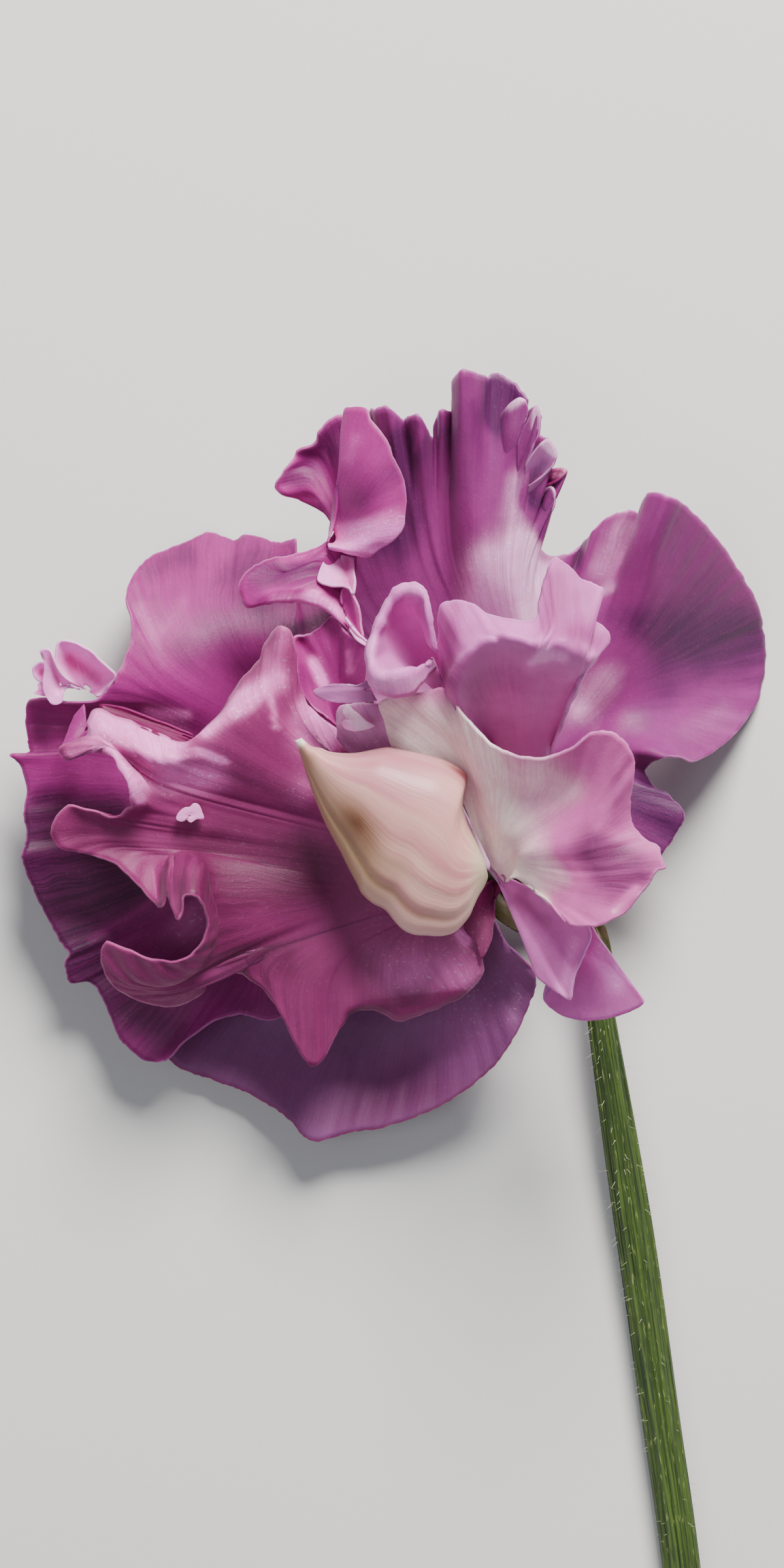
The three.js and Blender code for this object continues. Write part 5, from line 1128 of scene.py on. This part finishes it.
# %% Finishes of the petals
TINTS = {
    # finish: blade, vein, pale (also painted highlight), deep (also painted shade), rim
    "rose": ((140, 46, 106), (114, 31, 84), (255, 140, 216), (88, 16, 62), (200, 104, 162)),
    "mauve": ((132, 72, 126), (104, 48, 98), (172, 114, 164), (104, 40, 86), (172, 50, 88)),
    "plum": ((148, 38, 120), (118, 24, 92), (250, 142, 218), (60, 6, 54), (206, 120, 186)),
    "fold": ((162, 45, 130), (134, 32, 106), (255, 134, 218), (92, 18, 80), (232, 140, 202)),
    "crimson": ((112, 4, 76), (92, 2, 60), (230, 130, 186), (70, 4, 50), (128, 20, 92)),
    "lilac": ((138, 50, 120), (110, 35, 96), (255, 192, 236), (72, 24, 74), (216, 140, 202)),
    "dusk": ((204, 112, 184), (188, 88, 168), (255, 162, 228), (140, 50, 116), (232, 160, 222)),
    "haze": ((172, 102, 160), (142, 80, 134), (248, 196, 236), (104, 50, 102), (214, 164, 204)),
    # bright is the palest pink, for curled lobes, lips and strips: partly their paler tissue, partly painted
    # highlight where they catch the light.
    "bright": ((250, 150, 220), (230, 120, 192), (255, 214, 244), (178, 60, 136), (255, 220, 244)),
    "cream": ((236, 190, 174), (216, 160, 152), (250, 224, 206), (180, 136, 116), (240, 214, 196)),
    "milk": ((194, 96, 162), (168, 76, 138), (255, 226, 222), (104, 40, 88), (216, 140, 196)),
}
USUAL_STREAK = 0.2
STREAKS = {"rose": 0.24, "plum": 0.42, "lilac": 0.22, "dusk": 0.12, "bright": 0.15, "milk": 0.12}
HEARTS = {"milk": dict(heart=colour(255, 232, 214), heart_end=0.36, rim_share=0.1)}
FINISHES = {
    name: petal_finish("petal_" + name, tints, STREAKS.get(name, USUAL_STREAK), **HEARTS.get(name, {}))
    for name, tints in TINTS.items()
}
print(len(FINISHES), "petal finishes")

# %% Green finish of the calyces
def calyx_finish():
    r = Recipe("calyx_green")
    body = r.on_object()
    cloud = r.noise(body, 260.0, detail=4.0)
    fine = r.noise(body, 1800.0)
    tint = r.mix(cloud.ramp(0.35, 0.65), colour(50, 56, 12), colour(62, 48, 24))
    values = {"Base Color": tint, "Roughness": 0.55, "Subsurface Weight": 0.08, "Subsurface Scale": 0.0005}
    return r.finish(values, fine, 0.3, 0.0002)


FINISHES["green"] = calyx_finish()
print(len(bpy.data.materials), "materials so far")

# %% [markdown]
# ## Dress the petals
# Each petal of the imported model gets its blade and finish, and each frill is laid on the petal it grows
# from. The model's own petals could be smoothed instead, but they hold too few points for these curls.
# calm says how a blade is evened out: passes, from and to which share of its length they fade, and how
# far the levelling of heights reaches, in millimetres.

# %% Petals
SEED_STEP = 20  # between one blade's random waves and the next one's
PETAL_ROWS = 64
PETAL_CRINKLE = 0.12
PETAL_NIBBLE = 0.1
USUAL_CALM = (3, 0.5, 0.9, 0.7)
USUAL_PLEAT = 0.02
DRESS = {
    # petal: finish, slot, calm, pleat
    "standard_a": ("rose", "petal_pink", (260, 0.36, 0.92, 5.0), 0.006),
    "standard_a_outer": ("mauve", "petal_mauve", USUAL_CALM, USUAL_PLEAT),
    "wing_a_right": ("milk", "petal_pale", (6, 0.5, 0.9, 1.6), 0.015),
    "wing_a_left": ("haze", "petal_pink", USUAL_CALM, USUAL_PLEAT),
    "standard_b": ("lilac", "petal_pink", (14, 0.5, 0.9, 1.4), 0.01),
    "wing_b_right": ("dusk", "petal_pink", USUAL_CALM, 0.01),
    "wing_b_left": ("dusk", "petal_pink", USUAL_CALM, USUAL_PLEAT),
    "standard_c": ("plum", "petal_pink", (30, 0.5, 0.9, 2.4), 0.01),
    "wing_c_right": ("fold", "petal_pink", (3, 0.5, 0.9, 0.9), 0.006),
    "wing_c_left": ("fold", "petal_pink", USUAL_CALM, USUAL_PLEAT),
    "keel_b": ("cream", "keel", USUAL_CALM, USUAL_PLEAT),
    "keel_c": ("cream", "keel", USUAL_CALM, USUAL_PLEAT),
}
petal_shares = np.linspace(0, 1, PETAL_ROWS + 1)
for k, (name, (finish, slot_name, calm, pleat)) in enumerate(DRESS.items()):
    veins = petal_veins(PETALS[name], petal_shares)
    waves = (pleat, PETAL_CRINKLE, PETAL_NIBBLE)
    patches = LIGHT_SHADE_AND_TONE_PATCHES.get(name, [])
    piece = make_blade(name + "_blade", veins, petal_shares, patches, calm, waves, SEED_STEP * k + 1)
    piece.data.materials.append(FINISHES[finish])
    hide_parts(name)

# %% Frills
FRILL_ROWS = 24
FRILL_CALM = (2, 0.5, 0.9, 0.3)
FRILL_WAVES = (0.01, 0.05, 0.05)
FRILL_SEED = 500
frill_shares = np.linspace(0, 1, FRILL_ROWS + 1)
for k, (name, frill) in enumerate(FRILLS.items()):
    veins = frill_veins(frill, frill_shares)
    patches, seed = LIGHT_SHADE_AND_TONE_PATCHES.get(name, []), FRILL_SEED + SEED_STEP * k
    piece = make_blade(name, veins, frill_shares, patches, FRILL_CALM, FRILL_WAVES, seed)
    piece.data.materials.append(FINISHES[frill["finish"]])
    "calyx" if frill["finish"] == "green" else "petal_pink"

# %% [markdown]
# ## The keel
# The keel is two small petals grown together into a boat that hides the stamens. It could be carved from
# a stretched ball, but it has a sharp tip, and its veins run from the claw to that tip, round the belly
# and along the back. So it is a puffed-up shell whose rows and columns run the same way.

# %% Keel outline
KEEL_BELLY = [  # from the claw round the heel to the tip
    (9.5, -8.5), (9.75, -9.4), (9.4, -10.4), (8.8, -11.4), (8.3, -12.5), (7.9, -13.4), (7.2, -14.3),
    (6.3, -15.1), (5, -15.45), (3.5, -15.4), (2.2, -15.3), (1.1, -14.8), (0.2, -13.9), (-0.7, -12.8),
    (-2, -12.1), (-3.1, -11.1), (-3.6, -10.1), (-4.3, -8.8), (-5.3, -6.8), (-6.3, -5), (-7.2, -3.1),
    (-8.1, -0.8), (-8.9, 1.6), (-9.4, 3.2), (-9.85, 4.4),
]
KEEL_BACK = [  # from the claw up the back edge to the tip
    (9.5, -8.2), (9.3, -7.4), (8.7, -6), (8, -4.6), (7.55, -3.6), (7.2, -2.2), (7.35, -0.8), (7.65, 0.8),
    (6.8, 1.7), (5.1, 2.55), (3, 3.1), (0.5, 3.6), (-0.5, 3.75), (-1.8, 3.55), (-3.5, 3.2), (-5, 3.15),
    (-6.3, 3.3), (-7.2, 3.65), (-8, 3.8), (-8.5, 4.1), (-9.2, 4.7),
]


def even_points(points, shares):
    """Points at the given shares of the length of a curve through `points`."""
    flat = [(x, y, 0) for x, y in points]
    return resample(dense(flat), shares)[:, :2]


print("keel outline of", len(KEEL_BELLY) + len(KEEL_BACK), "points")

# %% Keel shell
KEEL_ROWS, KEEL_COLUMNS = 150, 90
KEEL_FLOOR = 23.2  # the height of its edges
KEEL_CROWN = 4.9  # how far it is puffed up
KEEL_TILT = 1.1  # by which the back edge stands higher than the belly
KEEL_WALL = 0.35
KEEL_LEAN = 0.1  # by which its middle leans towards the back
WRINKLE_DEPTH = 0.07  # of the fine wrinkles on the belly
WRINKLES_ACROSS, WRINKLES_ALONG = 46, 5  # radians that their wave turns over the shell
HEM_PLACE, HEM_WIDTH, HEM_DEPTH = 0.1, 0.028, 0.3  # of the groove along the belly


def keel_height(along, across):
    """The shell's height from its claw (along 0) to its tip, and from its belly (across 0) to its back."""
    swell = np.sin(np.pi * np.clip(along, 0.002, 0.998)) ** 0.5
    arch = np.sin(np.pi * across) ** 0.55
    heel = smoothstep(along, 0.06, 0.2) * smoothstep(along, 0.62, 0.42)
    waves = np.sin(across * WRINKLES_ACROSS + along * WRINKLES_ALONG)
    wrinkles = heel * waves * smoothstep(across, 0.5, 0.05)
    sides = smoothstep(along, 0.1, 0.3) * smoothstep(along, 0.97, 0.8)
    hem = np.exp(-(((across - HEM_PLACE) / HEM_WIDTH) ** 2)) * sides
    puffed = KEEL_FLOOR + swell * (KEEL_CROWN * arch + KEEL_TILT * across)
    return puffed + WRINKLE_DEPTH * wrinkles - HEM_DEPTH * hem


def keel_grid(along, across):
    belly, back = even_points(KEEL_BELLY, along), even_points(KEEL_BACK, along)
    lean = across + KEEL_LEAN * np.sin(np.pi * across)
    grid = np.zeros((len(along), len(across), 3))
    grid[:, :, :2] = belly[:, None] + (back - belly)[:, None] * lean[None, :, None]
    grid[:, :, 2] = keel_height(along[:, None], across[None, :])
    return grid


keel_across = np.linspace(0, 1, KEEL_COLUMNS + 1)
keel_along = np.linspace(0, 1, KEEL_ROWS + 1)
keel_piece = shown("keel_a_shell", bend(keel_grid(keel_along, keel_across), keel_across, keel_along, {}))
thicken(keel_piece, KEEL_WALL, -1.0)
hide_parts("keel_a")
print("keel", len(keel_piece.data.polygons), "faces")

# %% Keel finish
def keel_finish():
    r = Recipe("keel_cream")
    across, along = r.on_petal()
    cloud = r.noise(r.on_object(), 220.0, detail=3.0)
    wide = r.noise(r.vector(across * 11.0 + cloud, along * 1.6, 2.0), 1.0)
    fine = r.noise(r.vector(across * 70.0, along * 3.0, 5.0), 1.0, detail=3.0)

    def near(centre_across, centre_along, reach_across, reach_along):
        """1 at a place on the shell and 0 beyond its reach."""
        aside = (across - centre_across).math("ABSOLUTE").ramp(reach_across, 0.0)
        ahead = (along - centre_along).math("ABSOLUTE").ramp(reach_along, 0.0)
        return aside * ahead

    # The keel's own stains and streaks, and with them painted light: painted shade over the belly side and a
    # painted highlight at the tip.
    stains_and_painted_light = [
        (fine.ramp(0.45, 0.65) * 0.15, (168, 118, 118)),  # thin lines
        (near(0.8, 0.62, 0.5, 0.4) * 0.8, (180, 108, 132)),  # rose over the back
        # Painted shade: tan-brown over the belly side towards the tip, which turns away from the light.
        (across.ramp(0.5, 0.1) * along.ramp(0.35, 0.6) * 0.75, (172, 144, 108)),  # tan over the belly
        (near(0.24, 0.64, 0.2, 0.16) * (0.4 + cloud), (112, 74, 52)),  # brown on the belly
        (near(0.3, 0.93, 0.5, 0.06) * 0.35, (146, 118, 58)),  # olive before the tip
        (near(0.0, 0.33, 0.16, 0.3) * 0.4, (228, 184, 186)),  # pink on the heel
        (near(0.09, 0.5, 0.035, 0.5) * 0.6, (138, 112, 78)),  # the hem
        (along.ramp(0.2, 0.03) * 0.8, (232, 226, 188)),  # the pale claw
        # Painted highlight: near-white at the very tip.
        (along.ramp(0.965, 0.99), (255, 250, 232)),  # the white tip
        ((near(0.965, 0.33, 0.05, 0.17) * 1.1).ramp(0.0, 1.0), (150, 78, 84)),  # red at the back edge
        ((near(1.0, 0.1, 0.08, 0.12) * 1.4).ramp(0.0, 1.0), (116, 96, 48)),  # olive by the claw
    ]
    tint = r.mix(wide.ramp(0.36, 0.7), colour(224, 174, 162), colour(206, 138, 144))
    for share, mark_tint in stains_and_painted_light:
        tint = r.mix(share, tint, colour(*mark_tint))
    values = {
        "Base Color": tint,
        "Roughness": 0.36 + (cloud - 0.5) * 0.15,
        "Subsurface Weight": 0.45,
        "Subsurface Radius": (1.0, 0.7, 0.5),
        "Subsurface Scale": 0.0015,
        "Sheen Weight": 0.05,
        "Specular IOR Level": 0.35,
    }
    return r.finish(values, fine * 0.5 + wide * 0.4, 0.3, 0.0002)


keel_piece.data.materials.append(keel_finish())
print("keel finished with", keel_piece.data.materials[0].name)

# %% [markdown]
# ## Stem
# A sweet pea's stem is ribbed along its length, and its blooms' short stalks, the pedicels, are smooth. A
# bump map could draw the ribs, but they also show in the stem's outline. So they are real shape: a grid is
# rolled into a tube whose radius changes from point to point.

# %% Tubes
TUBE_FLOOR = 0.02  # the lowest that a tube may reach
SEAM = 1e-7  # metres, within which the two sides of a tube's seam are joined
ASIDE = [0.3, 0.2, 1.0]  # a direction that no stem runs along


def square_to(ahead):
    """Two directions square to `ahead` and to each other."""
    beside = unit(np.cross(ahead, ASIDE))
    return beside, np.cross(beside, ahead)


def tube(name, line, radius):
    """A closed tube along a line. radius holds a number for each ring and side."""
    shares, turns = (np.linspace(0, 1, count) for count in radius.shape)
    middle = resample(dense(line), shares)
    beside, over = square_to(unit(np.gradient(middle, axis=0)))
    angle = 2 * math.pi * turns[None, :, None]
    outward = np.cos(angle) * beside[:, None] + np.sin(angle) * over[:, None]
    grid = middle[:, None] + radius[:, :, None] * outward
    grid[:, :, 2] = np.maximum(grid[:, :, 2], TUBE_FLOOR)
    rod = bend(grid, turns, shares * lengths(middle)[-1] / UV_SPAN, {})
    bmesh.ops.remove_doubles(rod, verts=rod.verts, dist=SEAM)
    ends = [edge for edge in rod.edges if edge.is_boundary]
    bmesh.ops.holes_fill(rod, edges=ends, sides=0)
    bmesh.ops.recalc_face_normals(rod, faces=rod.faces)
    return shown(name, rod)


print("tubes ready")

# %% Stem and pedicels
STEM_LINE = [
    (31.0, -90, 2.0), (29.6, -78, 2.0), (27.6, -64, 2.05), (25.6, -50, 2.2), (23.6, -37, 3.0),
    (21.6, -24, 4.4), (20.8, -17.5, 5.2), (18.2, -12.2, 5.8), (14.0, -9.8, 6.0), (10.9, -9.4, 6.1),
    (10.4, -9.4, 6.9), (10.4, -9.4, 7.9),
]
PEDICEL_LINES = {
    "pedicel_1": [
        (20.8, -17.5, 5.0), (18.8, -10, 3.8), (15.8, -3, 3.0), (14.5, 0.8, 3.4), (14.2, 1.2, 4.5),
        (14.2, 1.2, 5.5),
    ],
    "pedicel_2": [
        (19.6, -14.5, 5.2), (14.4, -8, 3.6), (5, -3.6, 1.9), (-2, -1.6, 1.3), (-4.6, -1.0, 1.5),
        (-4.8, -1.0, 2.7),
    ],
}
STEM_RADIUS = 1.9
PEDICEL_RADIUS = 1.0
STEM_RINGS, STEM_SIDES = 240, 132
PEDICEL_RINGS, PEDICEL_SIDES = 40, 32
RIB_HEIGHT, FINE_RIB_HEIGHT = 0.09, 0.05
RIBS, FINE_RIBS = 11, 23
TAPER = (0.45, 1.0)  # from and to which share of its length the stem narrows to a pedicel


def ribbed(share, angle):
    """The stem's radius at a share of its length and an angle round it."""
    ribs = RIB_HEIGHT * np.sin(RIBS * angle + 0.7 * np.sin(9 * share))
    ribs = ribs + FINE_RIB_HEIGHT * np.sin(FINE_RIBS * angle + 1.3 + 2 * share)
    taper = smoothstep(share, *TAPER)
    return STEM_RADIUS + (PEDICEL_RADIUS - STEM_RADIUS) * taper + ribs * (1 - 0.6 * taper)


stem_shares = np.linspace(0, 1, STEM_RINGS + 1)[:, None]
stem_angles = np.linspace(0, 2 * math.pi, STEM_SIDES + 1)[None, :]
green_pieces = [tube("stem_ribbed", STEM_LINE, ribbed(stem_shares, stem_angles))]
pedicel_radius = np.full((PEDICEL_RINGS + 1, PEDICEL_SIDES + 1), PEDICEL_RADIUS)
green_pieces += [tube(name, line, pedicel_radius) for name, line in PEDICEL_LINES.items()]
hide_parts("stem")
print("stem", [len(piece.data.polygons) for piece in green_pieces], "faces")

# %% Stem finish
def stem_finish():
    r = Recipe("stem_green")
    around, along = r.on_petal()
    cloud = r.noise(r.on_object(), 300.0, detail=4.0)
    ribs = r.noise(r.vector(around * 46.0, along * 9.0, 1.0), 1.0, detail=3.0, roughness=0.6)
    scars = r.noise(r.vector(around * 60.0, along * 60.0, 4.0), 1.0, detail=3.0)
    tint = r.mix(ribs.ramp(0.38, 0.62), colour(32, 50, 9), colour(68, 92, 28))
    tint = r.mix(cloud.ramp(0.5, 0.75) * 0.4, tint, colour(28, 42, 10))
    tint = r.mix(scars.ramp(0.6, 0.72) * 0.5, tint, colour(150, 165, 92))
    values = {
        "Base Color": tint,
        "Roughness": 0.5 + (cloud - 0.5) * 0.2,
        "Subsurface Weight": 0.1,
        "Subsurface Radius": (0.4, 0.8, 0.2),
        "Subsurface Scale": 0.0006,
    }
    return r.finish(values, ribs * 0.8 + scars * 0.3, 0.5, 0.0003)


stem_green = stem_finish()
for piece in green_pieces:
    piece.data.materials.append(stem_green)
print("stem and pedicels finished")

# %% [markdown]
# ## Hairs
# Short pale hairs stand on the stem. A particle system would scatter them, but the export keeps meshes
# only, so each hair is one thin three-sided cone that leans a little at random.

# %% Stem hairs
HAIR_TRIES = 320
HAIR_RADIUS, HAIR_TIP_RADIUS = 0.026, 0.008
HAIR_ASIDE = [0.1, 0.9, 0.3]  # a direction that no hair points in
HAIR_SINK = 0.1  # of a hair's foot into the stem
HAIR_LENGTHS = (0.4, 1.1)
LONG_HAIRS = 1.3  # times as long, in the half of the stem under the blooms
HAIR_LEAN = (-0.7, 0.2)  # along the stem, for 1 away from it
HAIR_SCATTER = 0.15
HAIR_REACH = 0.9  # of the stem's length, up to which hairs stand
HAIR_CROWDING = 0.7  # below 1 there are more of them towards the blooms
LOWEST_TIP = 0.3  # a hair that would end lower is left out
STEM_STEPS = 399  # of the stem's middle line
dice = np.random.default_rng(8)
stem_middle = resample(dense(STEM_LINE), np.linspace(0, 1, STEM_STEPS + 1))
hairs = bmesh.new()
for _ in range(HAIR_TRIES):
    step = int(STEM_STEPS * dice.uniform(0.02, 1.0) ** HAIR_CROWDING * HAIR_REACH)
    ahead = unit(stem_middle[step + 1] - stem_middle[step])
    turn = dice.uniform(0, 2 * math.pi)
    beside, over = square_to(ahead)
    outward = math.cos(turn) * beside + math.sin(turn) * over
    spine = unit(outward + ahead * dice.uniform(*HAIR_LEAN) + dice.normal(0, HAIR_SCATTER, 3))
    foot = stem_middle[step] + outward * (ribbed(step / STEM_STEPS, turn) - HAIR_SINK)
    length = dice.uniform(*HAIR_LENGTHS) * (LONG_HAIRS if step > STEM_STEPS / 2 else 1)
    if (foot + spine * length)[2] < LOWEST_TIP:
        continue
    cone = bmesh.ops.create_cone(
        hairs, cap_ends=True, segments=3, radius1=HAIR_RADIUS, radius2=HAIR_TIP_RADIUS, depth=1.0)
    first = unit(np.cross(spine, HAIR_ASIDE))
    second = np.cross(spine, first)
    for vert in cone["verts"]:
        spot = foot + spine * length * (vert.co.z + 0.5) + first * vert.co.x + second * vert.co.y
        vert.co = (spot - REST_SPOT) * MM
hair_piece = shown("stem_hairs", hairs)
print("hairs", len(hair_piece.data.polygons), "faces")

# %% Hair finish
hair_recipe = Recipe("hair_pale")
hair_cloud = hair_recipe.noise(hair_recipe.on_object(), 400.0)
hair_tint = hair_recipe.mix(hair_cloud, colour(176, 186, 140), colour(214, 220, 190))
hair_values = {"Base Color": hair_tint, "Roughness": 0.4}
hair_piece.data.materials.append(hair_recipe.finish(hair_values, hair_cloud, 0.1, 0.00005))
print(len(bpy.data.materials), "materials")

# %% [markdown]
# ## Calyces
# The three green cups that hold the petals' claws are hidden behind the blooms. They could be built anew,
# but hardly anything of them shows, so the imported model's own cups stay and only get the green finish.

# %% Calyces
for name in ("calyx_a", "calyx_b", "calyx_c"):
    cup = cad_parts[name]
    cup.data.materials.clear()
    cup.data.materials.append(FINISHES["green"])
    print(name, len(cup.data.polygons), "faces")
